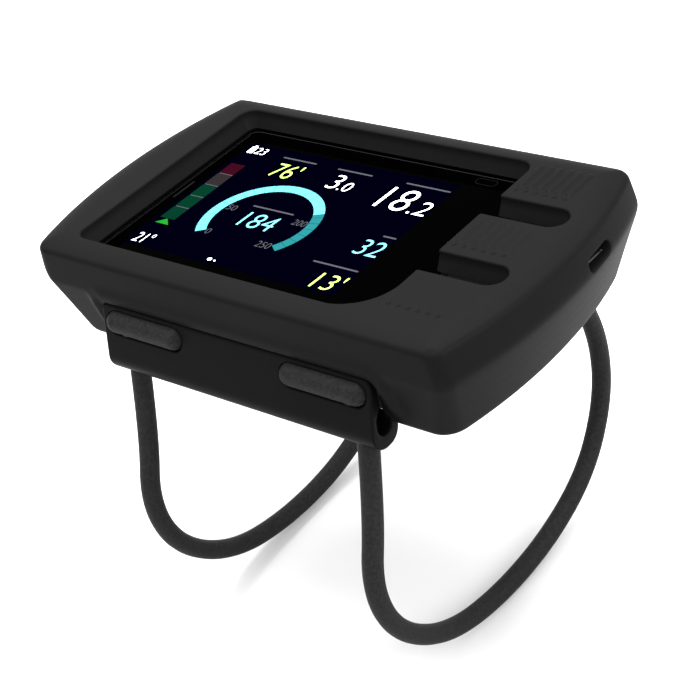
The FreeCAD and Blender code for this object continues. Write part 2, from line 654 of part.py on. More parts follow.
def make_charge_port():
    body = new_body("charge_connector")
    x = D["cavity_length"] / 2 + 0.05
    block = rounded(body, (0, 0, 0), D["port_length"] - 0.7, D["port_height"] - 0.3, 0.3,
                    "YZ_Plane")
    pad(body, block, D["socket_depth"])
    tail = rounded(body, (-0.95, 0, 0), 1.7, D["port_length"] - 2.4, 0.3)
    pad(body, tail, D["port_z"] - D["ceiling_button"] - 0.05, back=True)
    link = rounded(body, (-0.2, 0, 0), 1.2, D["port_length"] - 2.4, 0.3)
    pad(body, link, 1, back=True)
    place(body, x, D["port_y"], D["port_z"])
    pins = [drum(f"charge_pin_{k}", (x + D["socket_depth"], D["port_y"] + 2.2 * k, D["port_z"]), 1.1, 0.5, "x")
            for k in (-1, 0, 1)]
    group("charge_pins", pins)


# ---------------------------------------------------------------- buttons

def make_button(side):
    x, y = D["stem_x"], D[f"stem_{side}_y"]
    body = new_body(f"button_{side}")
    bottom = D["cap_bottom"]
    cap_at = (D["button_x"] - x, D[f"button_{side}_y"] - y, 0)
    pad(body, rounded(body, cap_at, D["cap_length"], D["cap_width"], D["cap_corner"]),
        D["cap_thick"])
    round_edges(body, 0.4, lambda edge: edge.BoundBox.ZMin > D["cap_thick"].value - 0.01)
    neck_low = D["neck_top"] - D["neck_height"]
    pad(body, circle(body, (0, 0, 0), D["stem_diameter"]), bottom - D["neck_top"], back=True)
    pad(body, circle(body, (0, 0, D["neck_top"] - bottom), D["neck_diameter"]),
        D["neck_height"], back=True)
    pad(body, circle(body, (0, 0, neck_low - bottom), D["stem_diameter"]),
        neck_low - D["stem_tip"], back=True)
    place(body, x, y, bottom)

    clip = new_body(f"button_clip_{side}")
    ring = circle(clip, (0, 0, 0), D["clip_diameter"])
    circle(clip, None, D["neck_diameter"] + 0.1, into=ring)
    pad(clip, ring, D["clip_thick"])
    place(clip, x, y, neck_low + 0.05)

    seal = doc.addObject("Part::Torus", f"button_seal_{side}")
    seal.Label = f"button_seal_{side}"
    bind(seal, ".Radius1", D["ring_radius"])
    bind(seal, ".Radius2", D["ring_section"] / 2)
    place(seal, x, y, D["ring_seat"] + D["ring_height"] / 2)
    keep(seal)

    wire = D["spring_wire"]
    height = bottom - D["spring_seat"] - wire - 0.1
    helix = doc.addObject("Part::Helix", f"spring_path_{side}")
    bind(helix, ".Height", height)
    bind(helix, ".Pitch", height / D["spring_turns"])
    bind(helix, ".Radius", D["spring_radius"])
    section = doc.addObject("Part::Circle", f"spring_section_{side}")
    bind(section, ".Radius", wire / 2)
    section.Placement = FreeCAD.Placement(FreeCAD.Vector(D["spring_radius"].value, 0, 0),
                                          FreeCAD.Rotation(FreeCAD.Vector(1, 0, 0), 90))
    bind(section, ".Placement.Base.x", D["spring_radius"])
    spring = doc.addObject("Part::Sweep", f"button_spring_{side}")
    spring.Label = f"button_spring_{side}"
    spring.Sections = [section]
    spring.Spine = (helix, ["Edge1"])
    spring.Solid = True
    spring.Frenet = True
    place(spring, x, y, D["spring_seat"] + wire / 2 + 0.05)
    keep(spring)


# ---------------------------------------------------------------- bungee bars and cords

def make_bar(label, turned):
    """J-shaped bar hung on its pin; the near one as drawn, the far one turned half round."""
    body = new_body(label)
    y, z = -D["pin_y"], D["pin_z"]
    top, bottom = D["bar_top"], D["bar_bottom"]
    outline = [
        (y - 1.8, top), (y - 4.3, z + 0.8), (y - 2.9, bottom), (y + 2.1, bottom),
        (y + 3.3, z + 0.4), (y + 1.9, z + 0.4), (y + 0.2, z), (y - 1.8, z + 1.2),
        (y + 0.2, z + 4.5), (y - 0.2, top),
    ]
    pad(body, polygon(body, (0, 0, 0), outline, "YZ_Plane"), D["bar_length"], both=True)
    pocket(body, circle(body, (y, z, 0), D["hollow_diameter"], "YZ_Plane"), D["bar_length"] + 2,
           both=True)
    y_value, z_value = y.value, z.value

    def is_ridge(edge, dy, height, reach=0.15):
        box = edge.BoundBox
        long_enough = box.XLength > 60
        return (long_enough and abs(box.YMin - (y_value + dy)) < reach
                and abs(box.ZMin - height) < reach)

    round_edges(body, 2.2, lambda e: is_ridge(e, -4.3, z_value + 0.8)
                or is_ridge(e, -2.9, bottom.value) or is_ridge(e, 2.1, bottom.value))
    round_edges(body, 0.55, lambda e: is_ridge(e, -1.8, top.value) or is_ridge(e, -0.2, top.value)
                or is_ridge(e, 3.3, z_value + 0.4))
    # knuckles that carry the pin, one between the lugs and one outside each
    gap = D["knuckle_gap"]
    inner = D["lug_x"] - D["lug_width"] / 2 - gap
    outer = D["lug_x"] + D["lug_width"] / 2 + gap
    pad(body, circle(body, (y, z, 0), D["knuckle_diameter"], "YZ_Plane"), inner * 2, both=True)
    for side in (-1, 1):
        start = outer if side > 0 else -D["pin_length"] / 2
        pad(body, circle(body, (y, z, start), D["knuckle_diameter"], "YZ_Plane"),
            D["pin_length"] / 2 - outer)
    pocket(body, circle(body, (y, z, 0), D["pin_diameter"] + 0.1, "YZ_Plane"),
           D["pin_length"] + 4, both=True)
    # clearance for the lugs
    for side in (-1, 1):
        start = outer if side > 0 else -inner
        room = D["lug_nose"] + 0.5
        pocket(body, circle(body, (y, z, start), room, "YZ_Plane"), outer - inner)
        behind = rounded(body, (y + 3, z, start), 6, room, 0.1, "YZ_Plane")
        pocket(body, behind, outer - inner)
    # rounded ends, seen from the front
    frame = rounded(body, (0, (top + bottom) / 2, 0), D["bar_length"] + 20,
                    top - bottom + 20, 1, "XZ_Plane")
    rounded(body, None, D["bar_length"], top - bottom, D["bar_end_corner"], into=frame)
    pocket(body, frame, 100, both=True)
    # cord holes in the underside and windows in the front wall
    for side in (-1, 1):
        hole_at = (D["cord_x"] * side, -D["cord_hole_y"])
        hole = circle(body, (*hole_at, bottom - 1), D["cord_hole"])
        pocket(body, hole, D["slot_window_z"] - bottom + 1, back=True)
        relief = circle(body, (*hole_at, D["cord_relief_z"]), D["cord_relief"])
        pocket(body, relief, D["slot_window_z"] - D["cord_relief_z"], back=True)
        window = rounded(body, (D["slot_window_x"] * side, D["slot_window_z"], -y + 6),
                         D["slot_window_length"], D["slot_window_height"],
                         D["slot_window_height"] / 2 - 0.02, "XZ_Plane")
        pocket(body, window, 8)
    if turned:
        body.Placement = FreeCAD.Placement(FreeCAD.Vector(),
                                           FreeCAD.Rotation(FreeCAD.Vector(0, 0, 1), 180))
    return body


def route_wire(points, what):
    """Straight runs joined by tangent arcs; prints the smallest bend radius."""
    corners = [FreeCAD.Vector(*p) for p in points]
    edges, here, radii = [], corners[0], []
    for before, at, after in zip(corners, corners[1:], corners[2:]):
        into, out = at - before, after - at
        shorter = min(into.Length, out.Length)
        half_turn = into.getAngle(out) / 2
        radius = 0.45 * shorter / math.tan(half_turn)
        radii.append(radius)
        reach = 0.45 * shorter
        into.normalize()
        out.normalize()
        first, last = at - into * reach, at + out * reach
        middle = at + (out - into).normalize() * (radius / math.cos(half_turn) - radius)
        edges.append(Part.LineSegment(here, first).toShape())
        edges.append(Part.Arc(first, middle, last).toShape())
        here = last
    edges.append(Part.LineSegment(here, corners[-1]).toShape())
    print(what, "bend radii", [round(r, 1) for r in radii])
    return Part.Wire(edges)


def tube(label, points, domed=False):
    """Round cord along a route of straight runs and tangent arcs; the end can be a dome."""
    path = route_wire(points, label)
    radius = D["cord_diameter"].value / 2
    start = path.Edges[0]
    along = start.tangentAt(start.FirstParameter)
    ring = Part.Wire(Part.makeCircle(radius, FreeCAD.Vector(*points[0]), along))
    solid = path.makePipeShell([ring], True, True)
    expected = math.pi * radius ** 2 * path.Length
    print(label, "length", round(path.Length, 1), "volume ratio",
          round(solid.Volume / expected, 4))
    if domed:
        solid = solid.fuse(Part.makeSphere(radius, FreeCAD.Vector(*points[-1])))
        solid = solid.removeSplitter()
    made = doc.addObject("Part::Feature", label)
    made.Label = label
    made.Shape = solid
    parts.append(made)
    return made


# Hanging loop in its own plane, as pairs (y, z) from the near bar to the far bar.
LOOP = [(-34.4, -17.5), (-39.9, -32.6), (-35.7, -47.2), (-22.3, -58.9), (-4.4, -62.9),
        (14.9, -62.0), (31.0, -55.7), (40.4, -42.8), (42.0, -28.9), (37.6, -15.2)]
# End tucked through the bar, as (x outwards, y, z) from the join up to its sealed tip.
TUCK = [(0.0, 0.0, 0.0), (0.1, -0.5, 9.5), (-9.0, -0.9, 9.7), (-14.0, 0.3, 9.4)]


def make_cords():
    x, y, z = D["cord_x"].value, D["pin_y"].value, D["cord_join_z"].value
    for name, side in (("left", -1), ("right", 1)):
        ends = [(side * x, -y, z)] + [(side * x, a, b) for a, b in LOOP] + [(side * x, y, z)]
        tube(f"{name}_loop", ends)
        for bar, way in (("near", 1), ("far", -1)):
            route = [(side * (x + dx), -way * y + way * dy, z + dz) for dx, dy, dz in TUCK]
            tube(f"{name}_tuck_{bar}", route, domed=True)


# ---------------------------------------------------------------- assembly

make_boot()
make_upper_case()
make_back_cover()
make_case_seal()
make_cover_screws()
make_window_stack()
make_electronics()
make_charge_port()
for place_name in ("near", "mid", "far"):
    make_button(place_name)
make_bar("near_bar", False)
make_bar("far_bar", True)
for pin_name, pin_side in (("near_pin", -1), ("far_pin", 1)):
    keep(drum(pin_name, (-D["pin_length"] / 2, D["pin_y"] * pin_side, D["pin_z"]),
              D["pin_diameter"], D["pin_length"], "x"))
make_cords()

doc.recompute()
faults = [o.Name for o in doc.Objects if "Invalid" in o.State or "Error" in o.State]
for part in parts:
    if part.Shape.isNull() or not part.Shape.isValid():
        faults.append(part.Label)
if faults:
    raise RuntimeError(f"these objects failed: {faults}")

os.makedirs("parts", exist_ok=True)
for part in parts:
    part.Shape.exportStep(f"parts/{part.Label}.step")
    box = part.Shape.BoundBox
    print(f"{part.Label:18s} solids {len(part.Shape.Solids)} volume {part.Shape.Volume:9.1f} "
          f"z {box.ZMin:6.1f} {box.ZMax:6.1f}")
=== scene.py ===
import math
from bisect import bisect_right
from math import cos, hypot, pi, radians, sin

import bmesh
import bpy
from mathutils import Matrix, Quaternion, Vector
from mathutils.geometry import delaunay_2d_cdt


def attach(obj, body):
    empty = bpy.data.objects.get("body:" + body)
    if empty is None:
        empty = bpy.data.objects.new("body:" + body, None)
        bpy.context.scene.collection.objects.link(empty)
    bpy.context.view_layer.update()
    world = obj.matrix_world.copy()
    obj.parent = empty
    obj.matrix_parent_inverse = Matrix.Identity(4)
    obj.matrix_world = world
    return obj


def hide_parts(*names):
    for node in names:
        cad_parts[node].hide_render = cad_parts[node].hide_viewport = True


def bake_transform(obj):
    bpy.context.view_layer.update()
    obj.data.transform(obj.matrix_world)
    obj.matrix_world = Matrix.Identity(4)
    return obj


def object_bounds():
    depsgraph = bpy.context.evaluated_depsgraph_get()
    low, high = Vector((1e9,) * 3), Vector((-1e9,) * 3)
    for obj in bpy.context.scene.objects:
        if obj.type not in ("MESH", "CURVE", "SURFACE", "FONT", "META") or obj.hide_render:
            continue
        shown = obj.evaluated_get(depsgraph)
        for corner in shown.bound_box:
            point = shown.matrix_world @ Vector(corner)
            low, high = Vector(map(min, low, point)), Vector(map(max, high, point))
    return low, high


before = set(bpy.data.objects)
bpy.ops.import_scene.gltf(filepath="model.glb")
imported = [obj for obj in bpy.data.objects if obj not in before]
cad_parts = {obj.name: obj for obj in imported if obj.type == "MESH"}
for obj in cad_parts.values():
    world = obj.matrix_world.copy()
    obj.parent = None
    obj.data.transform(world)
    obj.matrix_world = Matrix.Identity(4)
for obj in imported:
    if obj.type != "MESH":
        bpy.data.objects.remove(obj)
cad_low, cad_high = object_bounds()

MM = 0.001

# ---- sizes, in millimetres

BAND_LENGTH, BAND_WIDTH, BAND_CORNER = 109.2, 64.4, 3.6
BASE_LENGTH, BASE_WIDTH, BASE_CORNER = 101.4, 56.8, 5.0
SIDE_RADIUS = 102.0
BAND_BOTTOM, BAND_TOP, CROWN_TOP = 14.5, 22.2, 23.4
BACK_LENGTH, BACK_WIDTH, BACK_CORNER = 80.0, 38.0, 6.0
WALL = 2.5
CASE_TOP = 19.65
GLASS_TOP = 19.0

WINDOW_LEFT, WINDOW_RIGHT, WINDOW_HALF = -42.3, 32.0, 27.0
SLOT_END = 49.0
SLOTS = ((-12.2, -5.8), (7.8, 14.2))
PAD_TIP_RADIUS = 0.6

GATE_HALF, GATE_TOP, GATE_CORNER = 34.4, 12.35, 1.5
PORT_Y, PORT_Z, PORT_LENGTH, PORT_HEIGHT = 11.0, 17.2, 8.4, 2.8

CORD_RADIUS, CORD_X, PIN_Y, JOIN_Z = 2.1, 29.3, 30.9, -0.4


# ---- materials

def material(name, colour, rough, *, metal=0.0, specular=0.5, coat=0.0, grain=900.0,
             bump=0.02, tint=0.12, rough_spread=0.08, emission=0.0, large=40.0):
    """Principled surface with colour variation, roughness variation and a fine bump."""
    mat = bpy.data.materials.new(name)
    mat.use_nodes = True
    nodes, links = mat.node_tree.nodes, mat.node_tree.links
    shader = nodes["Principled BSDF"]
    shader.inputs["Metallic"].default_value = metal
    shader.inputs["Specular IOR Level"].default_value = specular
    shader.inputs["Coat Weight"].default_value = coat
    shader.inputs["Coat Roughness"].default_value = 0.08

    place = nodes.new("ShaderNodeTexCoord")

    def noise(scale, detail):
        made = nodes.new("ShaderNodeTexNoise")
        made.inputs["Scale"].default_value = scale
        made.inputs["Detail"].default_value = detail
        links.new(place.outputs["Object"], made.inputs["Vector"])
        return made

    broad = noise(large, 3)
    fine = noise(grain, 4)

    blend = nodes.new("ShaderNodeMix")
    blend.data_type = "RGBA"
    dark = [c * (1 - tint) for c in colour]
    light = [min(1, c * (1 + tint)) for c in colour]
    blend.inputs["A"].default_value = (*dark, 1)
    blend.inputs["B"].default_value = (*light, 1)
    links.new(broad.outputs["Fac"], blend.inputs["Factor"])
    links.new(blend.outputs["Result"], shader.inputs["Base Color"])

    spread = nodes.new("ShaderNodeMapRange")
    spread.inputs["To Min"].default_value = max(0.02, rough - rough_spread)
    spread.inputs["To Max"].default_value = min(1, rough + rough_spread)
    links.new(fine.outputs["Fac"], spread.inputs["Value"])
    links.new(spread.outputs["Result"], shader.inputs["Roughness"])

    uneven = nodes.new("ShaderNodeBump")
    uneven.inputs["Strength"].default_value = 0.5
    uneven.inputs["Distance"].default_value = bump * MM
    links.new(fine.outputs["Fac"], uneven.inputs["Height"])
    links.new(uneven.outputs["Normal"], shader.inputs["Normal"])

    if emission:
        links.new(blend.outputs["Result"], shader.inputs["Emission Color"])
        shader.inputs["Emission Strength"].default_value = emission
    return mat


SILICONE = material("silicone", (0.0049, 0.0049, 0.005), 0.48, specular=0.022, grain=2600,
                    bump=0.008, tint=0.10)
BAR_PLASTIC = material("bar_plastic", (0.0021, 0.0021, 0.0022), 0.4, specular=0.025,
                       grain=2200, bump=0.006, tint=0.15)
CASE_PLASTIC = material("case_plastic", (0.0012, 0.0012, 0.0012), 0.5, specular=0.03,
                        grain=2000, bump=0.008)
SHEATH = material("bungee_sheath", (0.0098, 0.0098, 0.01), 0.55, specular=0.06, grain=2700,
                  bump=0.35, tint=0.85, large=1500)
RUBBER = material("seal_rubber", (0.006, 0.006, 0.006), 0.6, specular=0.1)
GLASS = material("window_glass", (0.0001, 0.0001, 0.00012), 0.08, specular=0.0008, bump=0.0,
                 rough_spread=0.02, tint=0.3)
BEZEL = material("bezel_trim", (0.0008, 0.0008, 0.0008), 0.35, specular=0.02, bump=0.004)


def glow(name, colour):
    """Lit picture element of the screen, also used for the painted highlights on the glass
    border.
    """
    return material(name, colour, 0.4, specular=0.0, bump=0.0, tint=0.06, emission=1.0,
                    large=160)


GLOW_NAVY = glow("glow_navy", (0.00003, 0.00004, 0.0012))
GLOW_WHITE = glow("glow_white", (0.86, 0.87, 0.88))
GLOW_GREEN = glow("glow_green", (0.38, 0.62, 0.10))
GLOW_CYAN = glow("glow_cyan", (0.065, 0.30, 0.335))
GLOW_SKY = glow("glow_sky", (0.11, 0.45, 0.51))
GLOW_TEAL = glow("glow_teal", (0.007, 0.075, 0.082))
# painted highlight: glow for the thin lines along the bezel's edge
GLOW_PAINTED_HIGHLIGHT = glow("glow_painted_highlight", (0.012, 0.012, 0.0125))
# faint glow for the painted highlight on the sensor window's edge and for a mark on the border
GLOW_FAINT = glow("glow_faint", (0.004, 0.004, 0.0045))
GLOW_GREY = glow("glow_grey", (0.035, 0.035, 0.042))
GLOW_RED = glow("glow_red", (0.012, 0.0007, 0.0026))
GLOW_BROWN = glow("glow_brown", (0.008, 0.0065, 0.007))
GLOW_FOREST = glow("glow_forest", (0.0004, 0.011, 0.0052))
GLOW_ARROW = glow("glow_arrow", (0.005, 0.10, 0.008))
STEEL = material("steel", (0.56, 0.56, 0.58), 0.28, metal=1.0, bump=0.006)
BRASS = material("brass", (0.62, 0.47, 0.2), 0.3, metal=1.0, bump=0.006)
GOLD = material("contact_gold", (0.95, 0.78, 0.42), 0.18, metal=1.0, bump=0.003)
WHITE_PLASTIC = material("white_plastic", (0.7, 0.7, 0.68), 0.5)
CHIP = material("chip", (0.03, 0.03, 0.032), 0.5)
FLEX = material("flex_film", (0.42, 0.2, 0.05), 0.3, coat=0.3)
BOARD = material("board", (0.01, 0.08, 0.03), 0.4, coat=0.2, tint=0.3, large=300)
FOIL = material("cell_wrap", (0.25, 0.26, 0.28), 0.4)
NICKEL = material("port_nickel", (0.05, 0.05, 0.05), 0.3, metal=1.0, bump=0.004)
PORT_DARK = material("port_plastic", (0.01, 0.01, 0.01), 0.5)

BUTTONS = ("near", "mid", "far")


def three(name):
    return [f"{name}_{side}" for side in BUTTONS]


CAD_FINISH = {
    SILICONE: ["boot"],
    CASE_PLASTIC: ["upper_case", "back_cover", "display_frame", "sensor_guard",
                   *three("button")],
    BAR_PLASTIC: ["near_bar", "far_bar"],
    SHEATH: ["left_loop", "right_loop", "left_tuck_near", "left_tuck_far", "right_tuck_near",
             "right_tuck_far"],
    RUBBER: ["case_seal", "glass_gasket", "sensor_seal", *three("button_seal")],
    GLASS: ["cover_glass"],
    BEZEL: ["bezel_ring"],
    GLOW_NAVY: ["display_module"],
    STEEL: ["cover_screws", "board_screws", "near_pin", "far_pin", "pressure_sensor",
            "key_switches", "radio_module", *three("button_clip"), *three("button_spring")],
    BRASS: ["buzzer"],
    GOLD: ["charge_pins"],
    WHITE_PLASTIC: ["backlight_plate", "battery_tray"],
    CHIP: ["light_sensor", "compass_module", "radio_antenna"],
    FLEX: ["display_cable"],
    BOARD: ["main_board"],
    FOIL: ["battery_cell"],
    PORT_DARK: ["charge_connector"],
}
for finish, names in CAD_FINISH.items():
    for name in names:
        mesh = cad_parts[name].data
        mesh.materials.clear()
        mesh.materials.append(finish)


# ---- mesh helpers

def put(name, data):
    """A new object in the scene."""
    made = bpy.data.objects.new(name, data)
    bpy.context.scene.collection.objects.link(made)
    return made


def mesh_of(name, verts, faces):
    """A mesh from points in millimetres."""
    mesh = bpy.data.meshes.new(name)
    mesh.from_pydata([(x * MM, y * MM, z * MM) for x, y, z in verts], [], faces)
    return mesh


def shade(mesh, smooth):
    for face in mesh.polygons:
        face.use_smooth = smooth


def face_outward(mesh, top=None):
    """Normals outward; the faces above height top, in metres, are made to look up."""
    work = bmesh.new()
    work.from_mesh(mesh)
    bmesh.ops.recalc_face_normals(work, faces=work.faces)
    if top is not None and sum(f.normal.z * f.calc_area() for f in work.faces
                               if f.calc_center_median().z > top) < 0:
        bmesh.ops.reverse_faces(work, faces=work.faces)
    work.to_mesh(mesh)
    work.free()


def add_piece(name, verts, faces, mat, smooth=True):
    """A mesh object from points in millimetres."""
    mesh = mesh_of(name, verts, faces)
    mesh.materials.append(mat)
    mesh.update()
    shade(mesh, smooth)
    made = put(name, mesh)
    return made


def strip(low, high):
    """Faces between two closed rings of point numbers."""
    count = len(low)
    return [(low[k], low[(k + 1) % count], high[(k + 1) % count], high[k])
            for k in range(count)]


def loft(rings):
    """Points and faces of a skin through closed rings of equal count."""
    count = len(rings[0])
    faces = []
    for base in range(0, (len(rings) - 1) * count, count):
        faces += strip(range(base, base + count), range(base + count, base + 2 * count))
    return [p for ring in rings for p in ring], faces


def join(verts, faces, more_verts, more_faces):
    """Add one mesh's points and faces to another's."""
    base = len(verts)
    verts += more_verts
    faces += [tuple(v + base for v in face) for face in more_faces]


def spaced(low, high, step):
    """Values from low up to, but not at, high."""
    values = []
    while low + len(values) * step < high:
        values.append(low + len(values) * step)
    return values


def quarter_round(radius, angles=(15, 30, 45, 60, 75, 90)):
    """(inset left, depth) steps down a rounded edge."""
    return [(radius * (1 - sin(radians(a))), radius * (1 - cos(radians(a))))
            for a in angles]


def arc_points(cx, cy, radius, start, end, steps):
    """Points of an arc from one angle to another."""
    return [(cx + radius * cos(start + (end - start) * k / steps),
             cy + radius * sin(start + (end - start) * k / steps)) for k in range(steps + 1)]


LONG_STEPS, CORNER_STEPS, END_STEPS = 150, 14, 90


def capsule_ring(cx, cy, half, radius, grow=0.0, steps=14):
    """Outline of a lying capsule."""
    reach = half - radius
    turn = pi / 2
    return (arc_points(cx + reach, cy, radius + grow, -turn, turn, steps)
            + arc_points(cx - reach, cy, radius + grow, turn, 3 * turn, steps))


def barrel(length, width, corner, side=SIDE_RADIUS):
    """Counter-clockwise outline with straight long sides, bowed ends and rounded corners."""
    half = width / 2
    up = half - corner
    centre = side - length / 2
    reach = math.sqrt((side - corner) ** 2 - up ** 2)
    turn = math.atan2(up, reach)
    x = reach - centre
    quarter = pi / 2

    def line(x0, x1, y, steps):
        return [(x0 + (x1 - x0) * k / steps, y) for k in range(1, steps)]

    ring = []
    ring += line(-x, x, -half, LONG_STEPS)
    ring += arc_points(x, -up, corner, -quarter, -turn, CORNER_STEPS)
    ring += arc_points(-centre, 0, side, -turn, turn, END_STEPS)[1:-1]
    ring += arc_points(x, up, corner, turn, quarter, CORNER_STEPS)
    ring += line(x, -x, half, LONG_STEPS)
    ring += arc_points(-x, up, corner, quarter, pi - turn, CORNER_STEPS)
    ring += arc_points(centre, 0, side, pi - turn, pi + turn, END_STEPS)[1:-1]
    ring += arc_points(-x, -up, corner, pi + turn, 3 * quarter, CORNER_STEPS)
    return ring


def bend(here, into, out, radius):
    """Rounded corner between two directions: its start, end, centre and turn."""
    turn = math.atan2(into.x * out.y - into.y * out.x, into.dot(out))
    reach = radius * math.tan(abs(turn) / 2)
    first = here - into * reach
    centre = first + Vector((-into.y, into.x)) * radius * (1 if turn > 0 else -1)
    return first, here + out * reach, centre, turn


def rounded_path(corners, step=0.5):
    """Closed outline through (x, y, radius) corners: points with their outward normals."""
    bends, path = [], []
    for i, (x, y, radius) in enumerate(corners):
        x0, y0, _ = corners[i - 1]
        x1, y1, _ = corners[(i + 1) % len(corners)]
        into = Vector((x - x0, y - y0)).normalized()
        out = Vector((x1 - x, y1 - y)).normalized()
        bends.append((*bend(Vector((x, y)), into, out, radius), into, out, radius))
    for i, (first, last, centre, turn, into, out, radius) in enumerate(bends):
        steps = max(4, int(abs(turn) * radius / step) + 3)
        for k in range(steps + 1):
            turned = Matrix.Rotation(turn * k / steps, 2)
            spoke, heading = first - centre, into.copy()
            spoke.rotate(turned)
            heading.rotate(turned)
            path.append((centre + spoke, Vector((heading.y, -heading.x))))
        run = bends[(i + 1) % len(bends)][0] - last
        more = int(run.length / step)
        for k in range(1, more):
            path.append((last + run * k / more, Vector((out.y, -out.x))))
    return path


class RowTest:
    """Fast point-in-outline test for many points that share their y values."""

    def __init__(self, polygon):
        self.polygon = polygon
        self.rows = {}

    def crossings(self, y):
        key = round(y, 4)
        if key not in self.rows:
            found = []
            x1, y1 = self.polygon[-1]
            for x2, y2 in self.polygon:
                if (y1 > y) != (y2 > y):
                    found.append((x2 - x1) * (y - y1) / (y2 - y1) + x1)
                x1, y1 = x2, y2
            self.rows[key] = sorted(found)
        return self.rows[key]

    def holds(self, x, y, margin=0.0):
        edges = self.crossings(y)
        return any(a + margin < x < b - margin for a, b in zip(edges[::2], edges[1::2]))


def fill(outer, holes, grid):
    """Triangles between an outer outline and holes, over extra grid points; also the points
    of each hole's ring, in order."""
    coords = [Vector(p) for p in outer]
    edges = [(k, (k + 1) % len(outer)) for k in range(len(outer))]
    spans = []
    for hole in holes:
        base = len(coords)
        coords += [Vector(p) for p in hole]
        edges += [(base + k, base + (k + 1) % len(hole)) for k in range(len(hole))]
        spans.append(range(base, base + len(hole)))
    coords += [Vector(p) for p in grid]
    verts, _, faces, origins, *_ = delaunay_2d_cdt(coords, edges, [], 0, 1e-5, True)
    made_from = {given: k for k, group in enumerate(origins) for given in group}
    rings = [[made_from[given] for given in span] for span in spans]
    kept = []
    tests = [RowTest([tuple(p) for p in hole]) for hole in holes]
    rim = RowTest([tuple(p) for p in outer])
    for face in faces:
        x = sum(verts[v].x for v in face) / len(face)
        y = sum(verts[v].y for v in face) / len(face)
        if rim.holds(x, y) and not any(test.holds(x, y) for test in tests):
            kept.append(tuple(face))
    return [(v.x, v.y) for v in verts], kept, rings


def smooth_rise(t):
    """0 to 1 with level ends."""
    t = min(1.0, max(0.0, t))
    return t * t * (3 - 2 * t)


# ---- soft boot: top face

RIM = 0.8            # where the top face meets its rounded edge
CROWN_REACH = 5.6    # how far in the top face keeps rising
RIM_LEAN = math.atan(2 * (CROWN_TOP - BAND_TOP) / CROWN_REACH)
RIM_RADIUS = RIM / (1 - sin(RIM_LEAN))
RIM_DROP = RIM_RADIUS * cos(RIM_LEAN)
LIP = 0.45           # rounding of the window and slot edges

SLOT_RADIUS = 3.15
LIP_CORNERS = [(WINDOW_LEFT, -WINDOW_HALF, 2.6), (WINDOW_RIGHT, -WINDOW_HALF, 10.0)]
for low, high in SLOTS:
    LIP_CORNERS += [(WINDOW_RIGHT, low, PAD_TIP_RADIUS), (SLOT_END, low, SLOT_RADIUS),
                    (SLOT_END, high, SLOT_RADIUS), (WINDOW_RIGHT, high, PAD_TIP_RADIUS)]
LIP_CORNERS += [(WINDOW_RIGHT, WINDOW_HALF, 3.7), (WINDOW_LEFT, WINDOW_HALF, 3.2)]

DIMPLE_X, DIMPLE_PITCH, DIMPLES = 33.9, 2.15, 6
DIMPLE_ROWS = (-23.3, -3.2, 17.0)
RIB_SPANS = ((-21.6, -14.0), (-1.6, 5.2), (18.6, 25.6))
RIB_RADIUS, RIB_HEIGHT = 0.62, 0.19
RIB_STRENGTHS = (0.6, 1.0, 1.5)
DIMPLE_RADIUS, DIMPLE_DEPTH = 0.36, 0.42
RELIEF_LEFT, RELIEF_RIGHT = 32.0, 47.0
RIB_FADE, DIMPLE_FADE = 1.5, 1.4     # where each ends, in its own radii


def rim_distance(x, y):
    """How far a point of the top face is inside the outer outline."""
    half = BAND_WIDTH / 2
    side = SIDE_RADIUS - hypot(abs(x) + SIDE_RADIUS - BAND_LENGTH / 2, y)
    return min(half - abs(y), side)


def relief(x, y):
    """Ribs and dimples on the button pads."""
    if x < RELIEF_LEFT or x > RELIEF_RIGHT:
        return 0.0
    total = 0.0
    for k in range(DIMPLES):
        dx = x - DIMPLE_X - DIMPLE_PITCH * k
        if abs(dx) > DIMPLE_PITCH / 2:
            continue
        for (low, high), row, strength in zip(RIB_SPANS, DIMPLE_ROWS, RIB_STRENGTHS):
            dy = max(low - y, y - high, 0.0)
            away = hypot(dx, dy) / RIB_RADIUS
            if away < RIB_FADE:
                total += RIB_HEIGHT * strength * smooth_rise(RIB_FADE - away)
            away = hypot(dx, y - row) / DIMPLE_RADIUS
            if away < DIMPLE_FADE:
                total -= DIMPLE_DEPTH * smooth_rise(DIMPLE_FADE - away)
    return total


def crown(x, y):
    """Height of the plain top face."""
    d = max(0.0, rim_distance(x, y) - RIM)
    rise = 1 - (1 - min(1.0, d / CROWN_REACH)) ** 2
    return BAND_TOP + (CROWN_TOP - BAND_TOP) * rise


def top_height(x, y):
    return crown(x, y) + relief(x, y)


LIP_PATH = rounded_path(LIP_CORNERS)


def lip_ring(offset):
    """Edge of the opening, grown by offset onto the top face."""
    return [(p.x + n.x * offset, p.y + n.y * offset) for p, n in LIP_PATH]


BASE_INSET, OPEN_INSET = 3.85, 13.2
BAND_RING = barrel(BAND_LENGTH, BAND_WIDTH, BAND_CORNER)
BASE_RING = barrel(BASE_LENGTH, BASE_WIDTH, BASE_CORNER)
OPEN_RING = barrel(BACK_LENGTH, BACK_WIDTH, BACK_CORNER, side=4000.0)
RING_COUNT = len(BAND_RING)


def mix_rings(first, last, t):
    return [(a[0] + (b[0] - a[0]) * t, a[1] + (b[1] - a[1]) * t) for a, b in zip(first, last)]


def ring_at(q):
    """Outline inset by q millimetres from the band, turning into the base outline and then
    into the opening in the underside."""
    if q <= BASE_INSET:
        return mix_rings(BAND_RING, BASE_RING, q / BASE_INSET)
    return mix_rings(BASE_RING, OPEN_RING, (q - BASE_INSET) / (OPEN_INSET - BASE_INSET))


def inset_band(q):
    """Band outline drawn in by q, kept parallel to itself."""
    return barrel(BAND_LENGTH - 2 * q, BAND_WIDTH - 2 * q, BAND_CORNER - q * 0.6,
                  SIDE_RADIUS - q)


